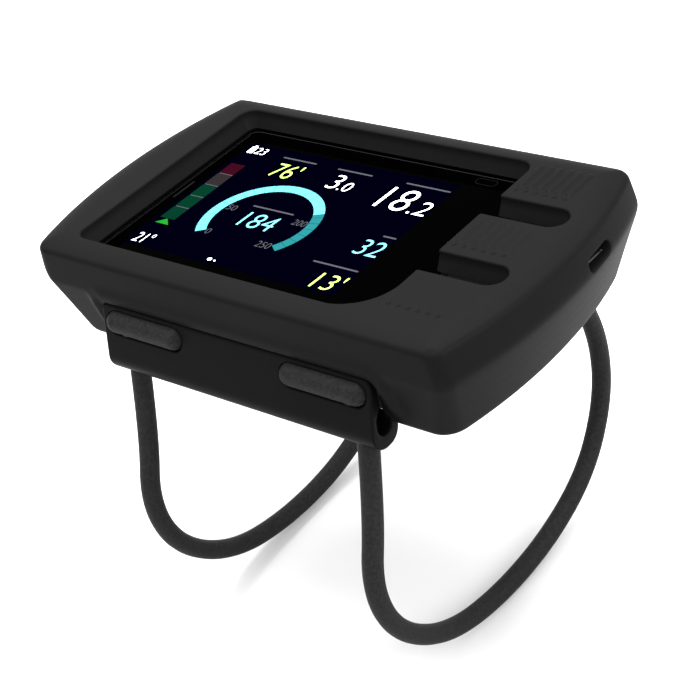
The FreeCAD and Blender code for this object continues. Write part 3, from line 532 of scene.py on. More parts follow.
TOP_OUTLINE = inset_band(RIM)
COARSE, FINE = 0.8, 0.24             # grid steps of the plain face and of the button pads
FINE_FROM, FINE_LEFT, FINE_RIGHT, FINE_HALF = 32.0, 32.2, 47.2, 31.2
GRID_COLUMNS, GRID_ROWS = 68, 40
ROW_SHIFT = 0.001                    # keeps grid rows off the points of the outlines


def top_grid():
    """Points inside the top face, finer on the button pads."""
    rim = RowTest(inset_band(RIM + 0.5))
    hole = RowTest(lip_ring(LIP + 0.45))
    points = [(i * COARSE, j * COARSE + ROW_SHIFT)
              for i in range(-GRID_COLUMNS, GRID_COLUMNS + 1)
              for j in range(-GRID_ROWS, GRID_ROWS + 1)
              if not FINE_FROM < i * COARSE < FINE_RIGHT]
    points += [(x, y + ROW_SHIFT) for x in spaced(FINE_LEFT, FINE_RIGHT, FINE)
               for y in spaced(-FINE_HALF, FINE_HALF, FINE)]
    return [(x, y) for x, y in points if rim.holds(x, y) and not hole.holds(x, y)]


# the walls of the opening lean in towards the glass: (offset, height)
WALL_LEVELS = ((0.0, 22.3), (-0.45, 21.4), (-0.9, 20.5), (-1.35, CASE_TOP))


def build_top():
    """The top face with its window and slots, down to the case: points and faces."""
    flat, faces, (ring,) = fill(TOP_OUTLINE, [lip_ring(LIP)], top_grid())
    verts = [(x, y, top_height(x, y)) for x, y in flat]
    tops = [verts[k][2] for k in ring]
    levels = [(offset, None, drop) for offset, drop in quarter_round(LIP)]
    levels += [(offset, z, None) for offset, z in WALL_LEVELS]
    for offset, z, drop in levels:
        fresh = range(len(verts), len(verts) + len(ring))
        for top, (x, y) in zip(tops, lip_ring(offset)):
            # beside the slots the wall stays behind the tips of the pads
            if offset < 0 and SLOTS[0][0] - 2 < y < SLOTS[1][1] + 2 and x > 20:
                x = max(x, WINDOW_RIGHT)
            verts.append((x, y, top - drop if z is None else z))
        faces += strip(ring, fresh)
        ring = fresh
    return verts, faces


def flip_to(verts, faces, want):
    """Turn each face so that its normal agrees with want(centre)."""
    turned = []
    for face in faces:
        a, b, c = (Vector(verts[face[k]]) for k in (0, 1, 2))
        normal = (b - a).cross(c - a)
        middle = sum((Vector(verts[v]) for v in face), Vector()) / len(face)
        turned.append(face if normal.dot(want(middle)) >= 0 else tuple(reversed(face)))
    return turned


PADS_LEFT, PADS_HALF = 26, 28.0


def pad_of(x, y):
    """Which soft button pad a point of the top face belongs to, or None."""
    if x < PADS_LEFT or x > SLOT_END + 0.2:
        return None
    near_slot = (SLOTS[0][0] + SLOTS[0][1]) / 2
    far_slot = (SLOTS[1][0] + SLOTS[1][1]) / 2
    if y < near_slot:
        return "near" if y > -PADS_HALF else None
    if y < far_slot:
        return "mid"
    return "far" if y < PADS_HALF else None


def split(verts, faces, pick):
    """Faces grouped by pick(centre), each with its own points."""
    groups = {}
    for face in faces:
        x = sum(verts[v][0] for v in face) / len(face)
        y = sum(verts[v][1] for v in face) / len(face)
        groups.setdefault(pick(x, y), []).append(face)
    out = {}
    for key, members in groups.items():
        used = sorted({v for face in members for v in face})
        place = {v: k for k, v in enumerate(used)}
        out[key] = ([verts[v] for v in used], [tuple(place[v] for v in f) for f in members])
    return out


# ---- soft boot: sides and underside

BEND_STEPS = 8


def rounded_profile(points, radii, step=0.45):
    """Open path through (q, z) points with rounded inner corners."""
    path = [points[0]]

    def run_to(target):
        sx, sy = path[-1]
        length = hypot(target[0] - sx, target[1] - sy)
        steps = max(1, int(length / step))
        for k in range(1, steps + 1):
            path.append((sx + (target[0] - sx) * k / steps, sy + (target[1] - sy) * k / steps))

    for i in range(1, len(points) - 1):
        before, here, after = (Vector(points[i + k]) for k in (-1, 0, 1))
        first, _, centre, turn = bend(here, (here - before).normalized(),
                                      (after - here).normalized(), radii[i - 1])
        run_to((first.x, first.y))
        for k in range(1, BEND_STEPS + 1):
            spoke = first - centre
            spoke.rotate(Matrix.Rotation(turn * k / BEND_STEPS, 2))
            path.append(((centre + spoke).x, (centre + spoke).y))
    run_to(points[-1])
    return path


PROFILE = rounded_profile(
    [(OPEN_INSET, 0.0), (BASE_INSET, 0.0), (0.0, BAND_BOTTOM), (0.0, BAND_TOP - RIM_DROP)],
    [2.6, 2.2])


def profile_lengths():
    """Length along the profile up to each of its points."""
    total, out = 0.0, [0.0]
    for a, b in zip(PROFILE, PROFILE[1:]):
        total += hypot(b[0] - a[0], b[1] - a[1])
        out.append(total)
    return out


PROFILE_AT = profile_lengths()


def at_profile(t):
    """(q, z) at a length along the profile."""
    t = min(max(t, 0.0), PROFILE_AT[-1])
    k = min(bisect_right(PROFILE_AT, t) - 1, len(PROFILE_AT) - 2)
    span = PROFILE_AT[k + 1] - PROFILE_AT[k]
    f = (t - PROFILE_AT[k]) / span if span else 0.0
    a, b = PROFILE[k], PROFILE[k + 1]
    return a[0] + (b[0] - a[0]) * f, a[1] + (b[1] - a[1]) * f


def length_at_height(z):
    """Length along the profile where it reaches a height."""
    for k, (a, b) in enumerate(zip(PROFILE, PROFILE[1:])):
        if a[1] <= z <= b[1] and b[1] > a[1]:
            f = (z - a[1]) / (b[1] - a[1])
            return PROFILE_AT[k] + f * (PROFILE_AT[k + 1] - PROFILE_AT[k])
    return PROFILE_AT[-1]


def length_at_inset(q):
    """Length along the profile where the underside reaches inset q."""
    return OPEN_INSET - q


RING_CACHE = {}


def side_point(s, t):
    """A point of the side wall: s is the outline index, t the length along the profile."""
    q, z = at_profile(t)
    key = round(q, 4)
    if key not in RING_CACHE:
        RING_CACHE[key] = ring_at(q)
    ring = RING_CACHE[key]
    k = int(math.floor(s)) % RING_COUNT
    f = s - math.floor(s)
    a, b = ring[k], ring[(k + 1) % RING_COUNT]
    return Vector((a[0] + (b[0] - a[0]) * f, a[1] + (b[1] - a[1]) * f, z))


def side_normal(s, t):
    """Outward direction of the side wall."""
    ds = side_point(s + 0.5, t) - side_point(s - 0.5, t)
    dt = side_point(s, min(t + 0.1, PROFILE_AT[-1])) - side_point(s, max(t - 0.1, 0.0))
    normal = ds.cross(dt)
    return normal.normalized() if normal.length > 0 else Vector((0, 0, 1))


def index_near(x, y):
    """Index of the band outline's point nearest to a place."""
    return min(range(RING_COUNT),
               key=lambda k: (BAND_RING[k][0] - x) ** 2 + (BAND_RING[k][1] - y) ** 2)


END_MIDDLE = index_near(BAND_LENGTH / 2, 0)
LONG_STEP = math.dist(BAND_RING[40], BAND_RING[41])
END_STEP = math.dist(BAND_RING[END_MIDDLE], BAND_RING[END_MIDDLE + 1])
GATE_INSET, GATE_FOOT, GATE_SOFT, PORT_SOFT = 6.6, 0.6, 0.75, 0.35
HOLE_DEPTHS = (1.2, 1.9, WALL)
OPENING_LEVELS = (0.0, 0.35, 2.05)
SIDE_ROWS = 54


def side_holes():
    """The two bar gates and the charge port as (path, outline steps per mm, edge radius)."""
    holes = []
    t_back = length_at_inset(GATE_INSET)
    t_gate = length_at_height(GATE_TOP)
    for side in (-1, 1):
        middle = index_near(0, side * BAND_WIDTH / 2)
        half = GATE_HALF / LONG_STEP
        holes.append((middle - half, middle + half, t_back, t_gate, 1 / LONG_STEP,
                      (GATE_FOOT, GATE_FOOT, GATE_CORNER, GATE_CORNER), GATE_SOFT))
    middle = index_near(BAND_LENGTH / 2, PORT_Y)
    half = PORT_LENGTH / 2 / END_STEP
    t_port = length_at_height(PORT_Z)
    holes.append((middle - half, middle + half, t_port - PORT_HEIGHT / 2,
                  t_port + PORT_HEIGHT / 2, 1 / END_STEP, (PORT_HEIGHT / 2 - 0.05,) * 4,
                  PORT_SOFT))
    paths = []
    for left, right, low, high, unit, radii, soft in holes:
        # rounded in millimetres; hole_ring scales the first axis back to the outline index
        corners = ((left, low), (right, low), (right, high), (left, high))
        flat = [(s / unit, t, radius) for (s, t), radius in zip(corners, radii)]
        paths.append((rounded_path(flat), unit, soft))
    return paths


def hole_ring(hole, offset):
    path, unit, _ = hole
    return [((p.x + n.x * offset) * unit, p.y + n.y * offset) for p, n in path]


def build_side():
    """Side walls and underside with the two bar gates and the charge port."""
    t_top = PROFILE_AT[-1]
    last = RING_COUNT
    heights = [t_top * k / SIDE_ROWS for k in range(1, SIDE_ROWS)]
    outer = [(k, 0.0) for k in range(last + 1)] + [(last, t) for t in heights]
    outer += [(k, t_top) for k in range(last, -1, -1)] + [(0, t) for t in reversed(heights)]
    holes = side_holes()
    keep_out = [RowTest(hole_ring(hole, hole[2] + 0.3)) for hole in holes]
    grid = [(k, t) for t in heights for k in range(1, last)
            if not any(test.holds(k, t) for test in keep_out)]
    flat, faces, rings = fill(outer, [hole_ring(hole, hole[2]) for hole in holes], grid)
    verts = [tuple(side_point(s % RING_COUNT, t)) for s, t in flat]
    for hole, ring in zip(holes, rings):
        for offset, depth in quarter_round(hole[2]) + [(0.0, depth) for depth in HOLE_DEPTHS]:
            fresh = range(len(verts), len(verts) + len(ring))
            verts += [tuple(side_point(s % RING_COUNT, t) - side_normal(s, t) * depth)
                      for s, t in hole_ring(hole, offset)]
            faces += strip(ring, fresh)
            ring = fresh
    join(verts, faces, *loft([[(x, y, z) for x, y in OPEN_RING] for z in OPENING_LEVELS]))
    return verts, faces


BELLY_Z, BELLY_TOP, BELLY_LOW, BELLY_SOFT = 16.0, BAND_TOP + 0.2, 3.0, 0.35
RIGHT_BELLY, LEFT_BELLY = (1.8, 0.6), (0.8, 1.4)     # (outwards, drawn in at the foot)
BELLY_FROM, BELLY_RUN = 38, 14
PLAIN_INSETS = {}


def plain_inset(z):
    """Inset of the plain wall at a height."""
    key = round(min(max(z, BELLY_LOW), BAND_TOP - RIM_DROP), 1)
    if key not in PLAIN_INSETS:
        PLAIN_INSETS[key] = at_profile(length_at_height(key))[0]
    return PLAIN_INSETS[key]


def belly(z, out, foot):
    """Outward swell of an end wall: widest at BELLY_Z, drawn in by foot at the base."""
    if z >= BELLY_TOP:
        return 0.0
    drawn = BASE_INSET + foot
    if z < BELLY_LOW:
        at_low = -drawn + (out + drawn) * BELLY_LOW / BELLY_Z + plain_inset(BELLY_LOW)
        return -foot + (at_low + foot) * z / BELLY_LOW
    upper = out * (BELLY_TOP - z) / (BELLY_TOP - BELLY_Z)
    lower = -drawn + (out + drawn) * z / BELLY_Z
    joined = -BELLY_SOFT * math.log(math.exp(-upper / BELLY_SOFT) + math.exp(-lower / BELLY_SOFT))
    return joined + plain_inset(z) if z < BAND_TOP - RIM_DROP else joined


def swell(x, y, z):
    """Belly of the two ends and the thickened lip over and beside the bars."""
    if x > 0:
        x += belly(z, *RIGHT_BELLY) * smooth_rise((x - BELLY_FROM) / BELLY_RUN)
    else:
        x -= belly(z, *LEFT_BELLY) * smooth_rise((-x - BELLY_FROM) / BELLY_RUN)
    if abs(y) > 24 and z < 17:
        beside = (abs(x) - GATE_HALF - 1.6) / 2.2
        if abs(beside) < 1:
            lift = (1 - beside * beside) ** 2 * smooth_rise((15.0 - z) / 4.0)
            y += math.copysign(lift * smooth_rise((z - 2.0) / 5.0), y)
        over = smooth_rise((GATE_HALF + 2.0 - abs(x)) / 3.0) * smooth_rise((z - 9.0) / 3.0)
        y += math.copysign(0.5 * over * smooth_rise((17.0 - z) / 4.0), y)
    return x, y, z


def weld(verts, faces, tolerance=0.004):
    """Merge points that coincide."""
    place, new_verts, remap = {}, [], []
    for x, y, z in verts:
        key = (round(x / tolerance), round(y / tolerance), round(z / tolerance))
        if key not in place:
            place[key] = len(new_verts)
            new_verts.append((x, y, z))
        remap.append(place[key])
    out = []
    for face in faces:
        mapped = []
        for v in face:
            if remap[v] not in mapped:
                mapped.append(remap[v])
        if len(mapped) > 2:
            out.append(tuple(mapped))
    return new_verts, out


def rim_ring(lean):
    """Ring on the rounded edge of the top face where the surface leans by this angle."""
    z = BAND_TOP - RIM_DROP + RIM_RADIUS * cos(lean)
    return [(x, y, z) for x, y in inset_band(RIM_RADIUS * (1 - sin(lean)))]


CREASE_STEPS = 7


def build_crease():
    """Quarter-round strip from the band up to the top face's outline."""
    rings = [[(x, y, BAND_TOP - RIM_DROP) for x, y in BAND_RING]]
    for k in range(1, CREASE_STEPS):
        rings.append(rim_ring(pi / 2 + (RIM_LEAN - pi / 2) * k / CREASE_STEPS))
    rings.append([(x, y, top_height(x, y)) for x, y in TOP_OUTLINE])
    return loft(rings)


SKIN_TOP = 0.0215


def make_boot():
    top_verts, top_faces = build_top()
    top_faces = flip_to(top_verts, top_faces, lambda p: Vector((0, 0, 1)))
    groups = split(top_verts, top_faces, pad_of)
    verts, faces = groups.pop(None)
    join(verts, faces, *build_crease())
    join(verts, faces, *build_side())
    verts, faces = weld(verts, faces)
    verts = [swell(*v) for v in verts]
    skin = add_piece("boot_skin", verts, faces, SILICONE)
    face_outward(skin.data, SKIN_TOP)
    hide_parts("boot")
    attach(skin, "computer")
    for side, (pad_verts, pad_faces) in groups.items():
        pad = add_piece(f"pad_{side}", pad_verts, pad_faces, SILICONE)
        face_outward(pad.data, SKIN_TOP)
        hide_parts("boot")
        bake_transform(pad)


make_boot()


PORT_X, PORT_DEEP = BAND_LENGTH / 2 - 1.1, 1.4


def make_port():
    """Bright rim inside the charge port."""
    outlines = ((PORT_X - PORT_DEEP, 4.0, 1.2), (PORT_X, 4.05, 1.25), (PORT_X, 3.93, 1.13),
                (PORT_X - PORT_DEEP, 3.93, 1.13))
    verts, faces = loft([[(x, y, z) for y, z in
                          capsule_ring(PORT_Y, PORT_Z, half, radius, steps=10)]
                         for x, half, radius in outlines])
    shell = add_piece("port_rim", verts, faces, NICKEL)
    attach(shell, "computer")


make_port()


# ---- bungee bars

BAR_HALF, BAR_EDGE, BAR_TOP, BAR_SHOULDER = 33.9, 0.35, 12.5, 1.8
BAR_FACE = -32.2
BAR_LEAN = 0.216         # how far the outer face leans outwards per millimetre down
BAR_PROFILE = [
    (BAR_FACE, 12.5, 0.5), (-35.5, -2.8, 3.5), (-27.3, -2.8, 3.2), (-27.35, 2.5, 0.6),
    (-29.0, 2.5, 0.5), (-29.0, 0.1, 1.85), (-32.9, 0.1, 1.85), (-32.9, 3.9, 1.5),
    (-30.75, 6.4, 1.5), (-30.9, 12.5, 0.5),
]
BAR_WINDOW_X, BAR_WINDOW_Z, BAR_WINDOW_HALF, BAR_WINDOW_RADIUS = 22.6, 9.0, 10.1, 2.45
BAR_WAIST = 6.4          # the shoulders bend down only above this height
BAR_PATH = rounded_path(BAR_PROFILE, 0.6)
BAR_STATIONS = (33.0, 32.6, 32.2, 31.8, 31.4, 31.0, 30.5, 29.0, 26.0, 23.0, 20.0)
WINDOW_MOUTH, WINDOW_DEEP = 0.4, 6.0
CORD_BORE_Y, CORD_BORE_RADIUS, CORD_BORE_HALF = -31.1, 2.35, 3.0
LUG_X, LUG_HALF, LUG_Y, LUG_Z = 10.5, 2.8, (-33.0, -26.0), (-0.2, 4.2)
KNUCKLES = ((-19.0, -13.6), (-7.4, 7.4), (13.6, 19.0))
KNUCKLE_RADIUS, KNUCKLE_Z = 1.9, 2.0
BAR_SHARP = 38           # degrees between faces from which an edge stays sharp
PILL_RADIUS, PILL_Y, PILL_GAP = 2.36, -32.3, 0.12
PILL_SIDES, PILL_CAP_STEPS = 32, 12


def closed_tube(name, rings):
    """Scratch object through rings of equal count, with flat ends."""
    verts, faces = loft(rings)
    count = len(rings[0])
    faces.append(tuple(range(count)))
    faces.append(tuple(range((len(rings) - 1) * count, len(rings) * count)))
    mesh = mesh_of(name, verts, faces)
    face_outward(mesh)
    return put(name, mesh)


def upright(name, ring, low, high):
    """Scratch object with one outline between two heights."""
    return closed_tube(name, [[(x, y, z) for x, y in ring] for z in (low, high)])


def window_cutter(name, cx):
    """Lying capsule cut square to the bar's outer face, with a rounded mouth."""
    rings = []
    mouth = WINDOW_MOUTH
    steps = [(-WINDOW_DEEP, 0.0), (-mouth, 0.0)]
    for k in range(1, 6):
        a = radians(15 * k)
        steps.append((-mouth + mouth * sin(a), mouth * (1 - cos(a))))
    steps += [(0.0, mouth), (1.5, mouth + 1.5)]
    face_y = BAR_FACE - BAR_LEAN * (BAR_TOP - BAR_WINDOW_Z)
    size = hypot(1.0, BAR_LEAN)
    for depth, grow in steps:
        ring = []
        for x, z in capsule_ring(cx, 0.0, BAR_WINDOW_HALF, BAR_WINDOW_RADIUS, grow):
            y = face_y + (z * BAR_LEAN - depth) / size
            ring.append((x, y, BAR_WINDOW_Z + (z + depth * BAR_LEAN) / size))
        rings.append(ring)
    return closed_tube(name, rings)


def bar_station(x, inset):
    """Bar section at x, drawn in by inset, its shoulder lowered towards the end."""
    over = max(0.0, abs(x) - (BAR_HALF - BAR_SHOULDER))
    top = BAR_TOP - (BAR_SHOULDER - math.sqrt(max(0.0, BAR_SHOULDER ** 2 - over ** 2)))
    ring = []
    for point, normal in BAR_PATH:
        y, z = point.x - normal.x * inset, point.y - normal.y * inset
        if z > BAR_WAIST:
            low = BAR_WAIST + (z - BAR_WAIST) * (top - BAR_WAIST) / (BAR_TOP - BAR_WAIST)
            y -= BAR_LEAN * (z - low)
            z = low
        ring.append((x, y, z))
    return ring


def make_bar(side):
    """J-shaped bar with its windows, cord bores, lug slots and pin knuckles."""
    stations = []
    for k in range(7):
        a = radians(15 * k)
        stations.append((BAR_HALF - BAR_EDGE + BAR_EDGE * cos(a),
                         BAR_EDGE * (1 - sin(a))))
    stations += [(x, 0.0) for x in BAR_STATIONS]
    stations += [(18.0 - 2 * k, 0.0) for k in range(10)]
    right = [bar_station(x, inset) for x, inset in stations]
    left = [bar_station(-x, inset) for x, inset in reversed(stations[:-1])]
    body = closed_tube(f"{side}_bar_blank", right + left)
    cutters = [window_cutter("cut_window_left", -BAR_WINDOW_X),
               window_cutter("cut_window_right", BAR_WINDOW_X)]
    for x in (-CORD_X, CORD_X):
        ring = arc_points(x, CORD_BORE_Y, CORD_BORE_RADIUS, 0, 2 * pi * 27 / 28, 27)
        cutters.append(upright("cut_cord", ring, -CORD_BORE_HALF, CORD_BORE_HALF))
    for x in (-LUG_X, LUG_X):
        ring = [(x - LUG_HALF, LUG_Y[0]), (x + LUG_HALF, LUG_Y[0]), (x + LUG_HALF, LUG_Y[1]),
                (x - LUG_HALF, LUG_Y[1])]
        cutters.append(upright("cut_lug", ring, *LUG_Z))
    for cutter in cutters:
        trim = body.modifiers.new("trim", "BOOLEAN")
        trim.operation = "DIFFERENCE"
        trim.solver = "EXACT"
        trim.object = cutter
    bpy.context.view_layer.update()
    seen = body.evaluated_get(bpy.context.evaluated_depsgraph_get())
    mesh = bpy.data.meshes.new_from_object(seen)
    for made in cutters + [body]:
        bpy.data.objects.remove(made)
    work = bmesh.new()
    work.from_mesh(mesh)
    spin = Matrix.Rotation(pi / 2, 4, "Y")
    for low, high in KNUCKLES:
        where = Matrix.Translation(((low + high) / 2 * MM, -PIN_Y * MM, KNUCKLE_Z * MM))
        bmesh.ops.create_cone(work, cap_ends=True, segments=32, radius1=KNUCKLE_RADIUS * MM,
                              radius2=KNUCKLE_RADIUS * MM, depth=(high - low) * MM,
                              matrix=where @ spin)
    if side == "far":
        bmesh.ops.rotate(work, verts=work.verts, cent=(0, 0, 0),
                         matrix=Matrix.Rotation(pi, 3, "Z"))
    mesh = bpy.data.meshes.new(f"{side}_bar_moulding")
    work.to_mesh(mesh)
    work.free()
    shade(mesh, True)
    mesh.set_sharp_from_angle(angle=radians(BAR_SHARP))
    mesh.materials.append(BAR_PLASTIC)
    made = put(f"{side}_bar_moulding", mesh)
    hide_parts(f"{side}_bar")
    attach(made, "computer")


for bar_side in ("near", "far"):
    make_bar(bar_side)


def make_coils():
    """Copies of the button springs with their placement baked into the points, shown instead of
    the model's springs.
    """
    for side in BUTTONS:
        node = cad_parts[f"button_spring_{side}"]
        mesh = node.data.copy()
        mesh.name = f"button_coil_{side}"
        mesh.transform(node.matrix_world)
        made = put(f"button_coil_{side}", mesh)
        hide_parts(f"button_spring_{side}")
        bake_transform(made)


make_coils()


CORD_ENDS = [(name, side, bar, way) for name, side in (("left", -1), ("right", 1))
             for bar, way in (("near", 1), ("far", -1))]


def make_pills():
    """The tucked cord ends where they fill the windows of the bars."""
    reach = BAR_WINDOW_HALF - PILL_GAP - PILL_RADIUS
    outline = []
    for k in range(PILL_CAP_STEPS + 1):
        a = radians(90 * k / PILL_CAP_STEPS)
        outline.append((reach + PILL_RADIUS * cos(a), max(PILL_RADIUS * sin(a), 0.02)))
    outline += [(x, PILL_RADIUS) for x in (reach - 2.4, reach - 4.8, 0)]
    outline += [(-x, r) for x, r in reversed(outline[:-1])]
    turns = [2 * pi * k / PILL_SIDES for k in range(PILL_SIDES)]
    for name, side, bar, way in CORD_ENDS:
        rings = [[(side * (BAR_WINDOW_X + x), way * (PILL_Y + radius * cos(t)),
                   BAR_WINDOW_Z + radius * sin(t)) for t in turns]
                 for x, radius in outline]
        pill = closed_tube(f"{name}_cord_end_{bar}", rings)
        shade(pill.data, True)
        pill.data.materials.append(SHEATH)
        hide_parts(f"{name}_tuck_{bar}")
        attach(pill, "computer")


make_pills()

# ---- bungee cords

# control points of a loop as (y, z), between its joins with the two bars
LOOP = [(-34.4, -17.5), (-39.9, -32.6), (-35.7, -47.2), (-22.3, -58.9), (-4.4, -62.9),
        (14.9, -62.0), (31.0, -55.7), (40.4, -42.8), (42.0, -28.9), (37.6, -15.2)]
# cord end in a bar, as (x outwards, y, z) from the join up to its tip
TUCK = [(0.0, 0.0, 0.0), (0.1, -0.5, 9.5), (-9.0, -0.9, 9.7), (-14.0, 0.3, 9.4)]


def cord_curve(name, points):
    curve = bpy.data.curves.new(name, "CURVE")
    curve.dimensions = "3D"
    curve.bevel_depth = CORD_RADIUS * MM
    curve.bevel_resolution = 8
    curve.resolution_u = 24
    curve.use_fill_caps = True
    spline = curve.splines.new("NURBS")
    spline.points.add(len(points) - 1)
    for point, (x, y, z) in zip(spline.points, points):
        point.co = (x * MM, y * MM, z * MM, 1)
    spline.order_u = 3
    spline.use_endpoint_u = True
    curve.materials.append(SHEATH)
    made = put(name, curve)
    return made


def make_cords():
    for name, side in (("left", -1), ("right", 1)):
        x = side * CORD_X
        points = [(x, -PIN_Y, JOIN_Z)] + [(x, y, z) for y, z in LOOP] + [(x, PIN_Y, JOIN_Z)]
        loop = cord_curve(f"{name}_loop_cord", points)
        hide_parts(f"{name}_loop")
        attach(loop, "computer")
        for bar, way in (("near", 1), ("far", -1)):
            route = [(side * (CORD_X + dx), way * (-PIN_Y + dy), JOIN_Z + dz)
                     for dx, dy, dz in TUCK]
            tuck = cord_curve(f"{name}_tuck_cord_{bar}", route)
            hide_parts(f"{name}_tuck_{bar}")
            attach(tuck, "computer")


make_cords()


# ---- lit screen

SCREEN_Z = GLASS_TOP + 0.012
GAUGE_X, GAUGE_Y, GAUGE_OUT, GAUGE_IN = -14.0, -4.0, 13.2, 10.9
GAUGE_START, GAUGE_SWEEP, GAUGE_STEPS, GAUGE_VALUE = 217.0, 254.0, 25, 18.4
DIGIT_LEAN, DIGIT_WEIGHT, DIGIT_LIFT, LINE_LIFT = 0.06, -0.011, 0.02, 0.004
SCALE_LEFT, SCALE_RIGHT = -35.9, -32.0

# digits as (name, text, finish, left, right, low, high)
NUMBERS = (
    ("value_tank", "184", GLOW_SKY, -18.0, -9.7, -7.0, -1.95),
    ("value_depth", "18", GLOW_WHITE, 4.8, 12.2, 8.4, 16.0),
    ("value_depth_part", ".2", GLOW_WHITE, 13.0, 17.2, 8.4, 13.2),
    ("value_stop", "3", GLOW_WHITE, -9.5, -6.9, 10.95, 16.1),
    ("value_stop_part", ".0", GLOW_WHITE, -6.4, -3.6, 10.95, 14.2),
    ("value_limit", "76'", GLOW_GREEN, -24.7, -18.2, 10.85, 16.1),
    ("value_mix", "32", GLOW_SKY, 11.6, 17.2, -7.0, -1.95),
    ("value_time", "13'", GLOW_GREEN, 10.9, 17.2, -19.3, -14.3),
    ("value_heat", "21\u00b0", GLOW_WHITE, -35.6, -31.2, -19.3, -15.9),
    ("value_charge", "23", GLOW_WHITE, -34.0, -31.2, 17.2, 19.6),
    ("scale_0", "0", GLOW_GREY, -22.4, -21.3, -11.8, -9.95),
    ("scale_50", "50", GLOW_GREY, -24.3, -22.0, -2.95, -1.1),
    ("scale_200", "200", GLOW_GREY, -6.9, -3.6, -2.95, -1.0),
    ("scale_250", "250", GLOW_GREY, -8.9, -5.4, -11.95, -9.95),
)
# plain rules where the real screen has its captions, as (left, right, height)
RULES = ((-26.0, -17.0, 18.0), (-11.2, -2.2, 17.9), (6.4, 17.2, 17.9), (14.1, 17.2, 0.0),
         (6.3, 17.2, -11.9), (-19.2, -8.5, 0.1))


def flat_piece(name, shapes, mat, lift=0.01):
    """Filled outlines lying on the glass."""
    verts, faces = [], []
    for shape in shapes:
        base = len(verts)
        verts += [(x, y, SCREEN_Z + lift) for x, y in shape]
        faces.append(tuple(range(base, base + len(shape))))
    made = add_piece(name, verts, faces, mat, smooth=False)
    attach(made, "computer")


def box_shape(x0, y0, x1, y1, corner=0.0):
    """Upright box, with rounded corners if asked."""
    if corner <= 0:
        return [(x0, y0), (x1, y0), (x1, y1), (x0, y1)]
    quarter = pi / 2
    out = []
    for k, (x, y) in enumerate(((x1 - corner, y0 + corner), (x1 - corner, y1 - corner),
                                (x0 + corner, y1 - corner), (x0 + corner, y0 + corner))):
        out += arc_points(x, y, corner, (k - 1) * quarter, k * quarter, 6)
    return out


def disc_shape(x, y, radius):
    return arc_points(x, y, radius, 0, 2 * pi * 23 / 24, 23)


def band_shape(start, end):
    """Piece of the round gauge between two angles, in degrees, going clockwise."""
    a, b = radians(start), radians(end)
    out = arc_points(GAUGE_X, GAUGE_Y, GAUGE_OUT, a, b, 8)
    return out + arc_points(GAUGE_X, GAUGE_Y, GAUGE_IN, b, a, 8)


def number(name, text, mat, left, right, low, high):
    """Digits stretched to fill a box on the glass."""
    curve = bpy.data.curves.new(name, "FONT")
    curve.body = text
    curve.size = 1.0
    curve.shear = DIGIT_LEAN
    curve.offset = DIGIT_WEIGHT
    curve.resolution_u = 6
    holder = put(name + "_type", curve)
    bpy.context.view_layer.update()
    mesh = bpy.data.meshes.new_from_object(holder)
    bpy.data.objects.remove(holder)
    xs = [v.co.x for v in mesh.vertices]
    ys = [v.co.y for v in mesh.vertices]
    wide, tall = max(xs) - min(xs), max(ys) - min(ys)
    for v in mesh.vertices:
        x = left + (v.co.x - min(xs)) / wide * (right - left)
        y = low + (v.co.y - min(ys)) / tall * (high - low)
        v.co = (x * MM, y * MM, (SCREEN_Z + DIGIT_LIFT) * MM)
    mesh.materials.clear()
    mesh.materials.append(mat)
    made = put(name, mesh)
    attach(made, "computer")


def make_gauge():
    """Ring of short pieces, bright up to the value and dim after it."""
    step = GAUGE_SWEEP / GAUGE_STEPS
    edge = GAUGE_START - GAUGE_VALUE * step
    bright, dim = [], []
    for k in range(GAUGE_STEPS):
        start = GAUGE_START - k * step
        first = start - (0.75 if k % 5 == 0 and k else 0.35) / 2
        last = start - step + 0.18
        if last >= edge:
            bright.append(band_shape(first, last))
        elif first <= edge:
            dim.append(band_shape(first, last))
        else:
            bright.append(band_shape(first, edge))
            dim.append(band_shape(edge, last))
    flat_piece("gauge_filled", bright, GLOW_CYAN)
    flat_piece("gauge_left", dim, GLOW_TEAL)


def make_border():
    """Glowing fine lines and a mark on the dark border of the glass; the lines are painted
    highlights along the bezel's edge and the light sensor window's edge.
    """
    # painted highlight along the bezel's edge, left out along most of the right side where the
    # edge catches no light
    outer = box_shape(-40.7, -25.3, 29.8, 25.3, 2.4)
    inner = box_shape(-40.56, -25.16, 29.66, 25.16, 2.26)
    strips = []
    for k, (x, y) in enumerate(outer):
        n = (k + 1) % len(outer)
        if x < 29.5 or outer[n][0] < 29.5 or y > 23.0:
            strips.append([outer[k], outer[n], inner[n], inner[k]])
    # second thin painted highlight line along the bezel's left edge
    strips.append(box_shape(-40.1, -23.5, -40.02, 23.5))
    flat_piece("bezel_painted_highlight", strips, GLOW_PAINTED_HIGHLIGHT, LINE_LIFT)
    # painted highlight: faint glowing outline along the light sensor window's real edge
    capsule = capsule_ring(21.9, 23.45, 2.5, 1.05)
    inner = capsule_ring(21.9, 23.45, 2.5, 1.05, -0.12)
    flat_piece("sensor_painted_highlight", strip(capsule, inner), GLOW_FAINT, LINE_LIFT)
    flat_piece("border_mark", [box_shape(-39.0, -3.1, -38.45, 3.5, 0.2)], GLOW_FAINT, LINE_LIFT)


def make_rate_scale():
    """Coloured column at the left of the screen."""
    left, right = SCALE_LEFT, SCALE_RIGHT
    flat_piece("rate_fast", [box_shape(left, 8.3, right, 12.4)], GLOW_RED)
    flat_piece("rate_high", [box_shape(left, 3.6, right, 8.0)], GLOW_BROWN)
    flat_piece("rate_safe", [box_shape(left, y, right, y + 4.25) for y in (-1.0, -5.5, -10.1)],
               GLOW_FOREST)
    flat_piece("rate_ticks", [box_shape(left + 0.3, y, right, y + 0.22)
                              for y in (8.05, 3.42, -1.2, -5.72)], GLOW_GREY, 0.014)
    flat_piece("rate_arrow", [[(-35.6, -12.1), (-31.9, -12.1), (-33.8, -10.2)]], GLOW_ARROW)


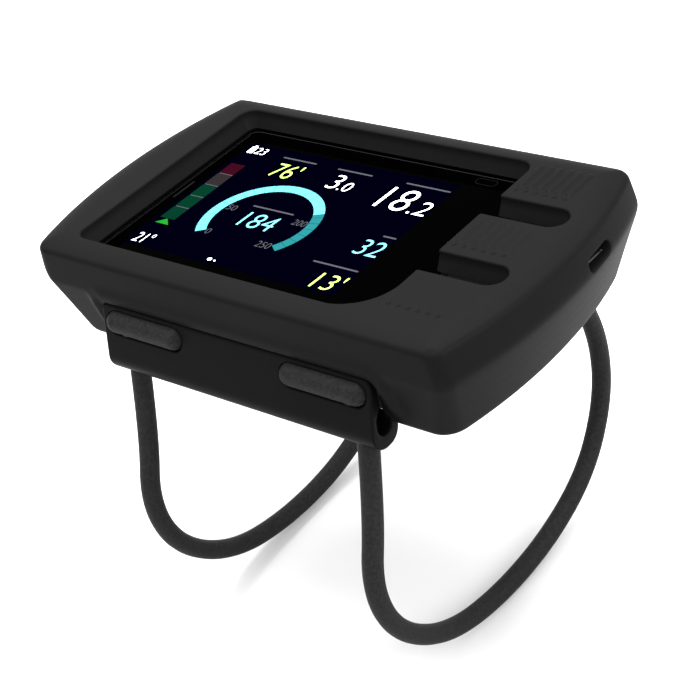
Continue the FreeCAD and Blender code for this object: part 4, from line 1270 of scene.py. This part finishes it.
def make_screen():
    flat_piece("screen_area", [box_shape(-37.0, -20.3, 17.6, 20.8, 0.4)], GLOW_NAVY, 0.0)
    make_gauge()
    for entry in NUMBERS:
        number(*entry)
    make_border()
    flat_piece("caption_rules", [box_shape(a, y - 0.22, b, y + 0.22, 0.2) for a, b, y in RULES],
               GLOW_GREY)
    flat_piece("battery_icon", [box_shape(-35.9, 17.1, -34.4, 19.6, 0.2),
                                box_shape(-35.5, 19.6, -34.8, 20.1)], GLOW_WHITE)
    flat_piece("page_dots", [disc_shape(-14.3, -18.9, 0.5), disc_shape(-12.95, -19.0, 0.24)],
               GLOW_WHITE)
    make_rate_scale()


make_screen()


# ---- floor, light and camera

FLOOR_GAP = 0.0004
# camera solved from the edges of the boot, the window and the pads in the photo
CAMERA_PLACE = (0.2194122, -0.2163216, 0.1928731)
CAMERA_AIM = (-0.60184498, 0.58255155, -0.54627494)
CAMERA_ROLL = -13.73453
FOCAL_PIXELS, FRAME_PIXELS, SENSOR_MM = 1820, 680, 36.0


def add_floor():
    low = cad_low.z - FLOOR_GAP
    bpy.ops.mesh.primitive_plane_add(size=4, location=(0, 0, low))
    floor = bpy.context.object
    floor.name = "floor"
    paper = material("paper", (0.6, 0.6, 0.6), 0.9, specular=0.0, tint=0.005, bump=0.0)
    floor.data.materials.append(paper)


def add_light(name, place, aim, size, power):
    """Round soft light that looks at a point."""
    lamp = bpy.data.lights.new(name, "AREA")
    lamp.shape = "DISK"
    lamp.size = size
    lamp.energy = power
    made = put(name, lamp)
    made.location = place
    made.rotation_mode = "QUATERNION"
    direction = Vector(aim) - Vector(place)
    made.rotation_quaternion = direction.to_track_quat("-Z", "Y")


def add_camera():
    lens = bpy.data.cameras.new("camera")
    lens.sensor_width = SENSOR_MM
    lens.lens = FOCAL_PIXELS / FRAME_PIXELS * SENSOR_MM
    lens.dof.use_dof = False
    lens.clip_start, lens.clip_end = 0.01, 10
    made = put("camera", lens)
    made.location = CAMERA_PLACE
    made.rotation_mode = "QUATERNION"
    roll = Quaternion((0, 0, 1), radians(CAMERA_ROLL))
    made.rotation_quaternion = Vector(CAMERA_AIM).to_track_quat("-Z", "Y") @ roll
    bpy.context.scene.camera = made


def add_world():
    """Soft dome, brighter overhead than at the horizon."""
    world = bpy.data.worlds.new("studio")
    bpy.context.scene.world = world
    world.use_nodes = True
    nodes, links = world.node_tree.nodes, world.node_tree.links
    sky = nodes["Background"]
    place = nodes.new("ShaderNodeTexCoord")
    parts = nodes.new("ShaderNodeSeparateXYZ")
    links.new(place.outputs["Generated"], parts.inputs["Vector"])
    rise = nodes.new("ShaderNodeMapRange")
    rise.inputs["To Min"].default_value = 0.5
    rise.inputs["To Max"].default_value = 2.9
    links.new(parts.outputs["Z"], rise.inputs["Value"])
    links.new(rise.outputs["Result"], sky.inputs["Strength"])
    sky.inputs["Color"].default_value = (1, 1, 1, 1)


add_floor()
add_world()
add_light("key", (-0.1, 0.1, 0.9), (0, 0, 0), 0.9, 19)
add_light("fill", (0.5, -0.52, 0.36), (0, 0, 0.01), 0.1, 0.3)
add_light("side", (0.75, 0.1, 0.4), (0, 0, 0.01), 0.4, 5)
add_camera()
bpy.context.scene.view_settings.view_transform = "Standard"
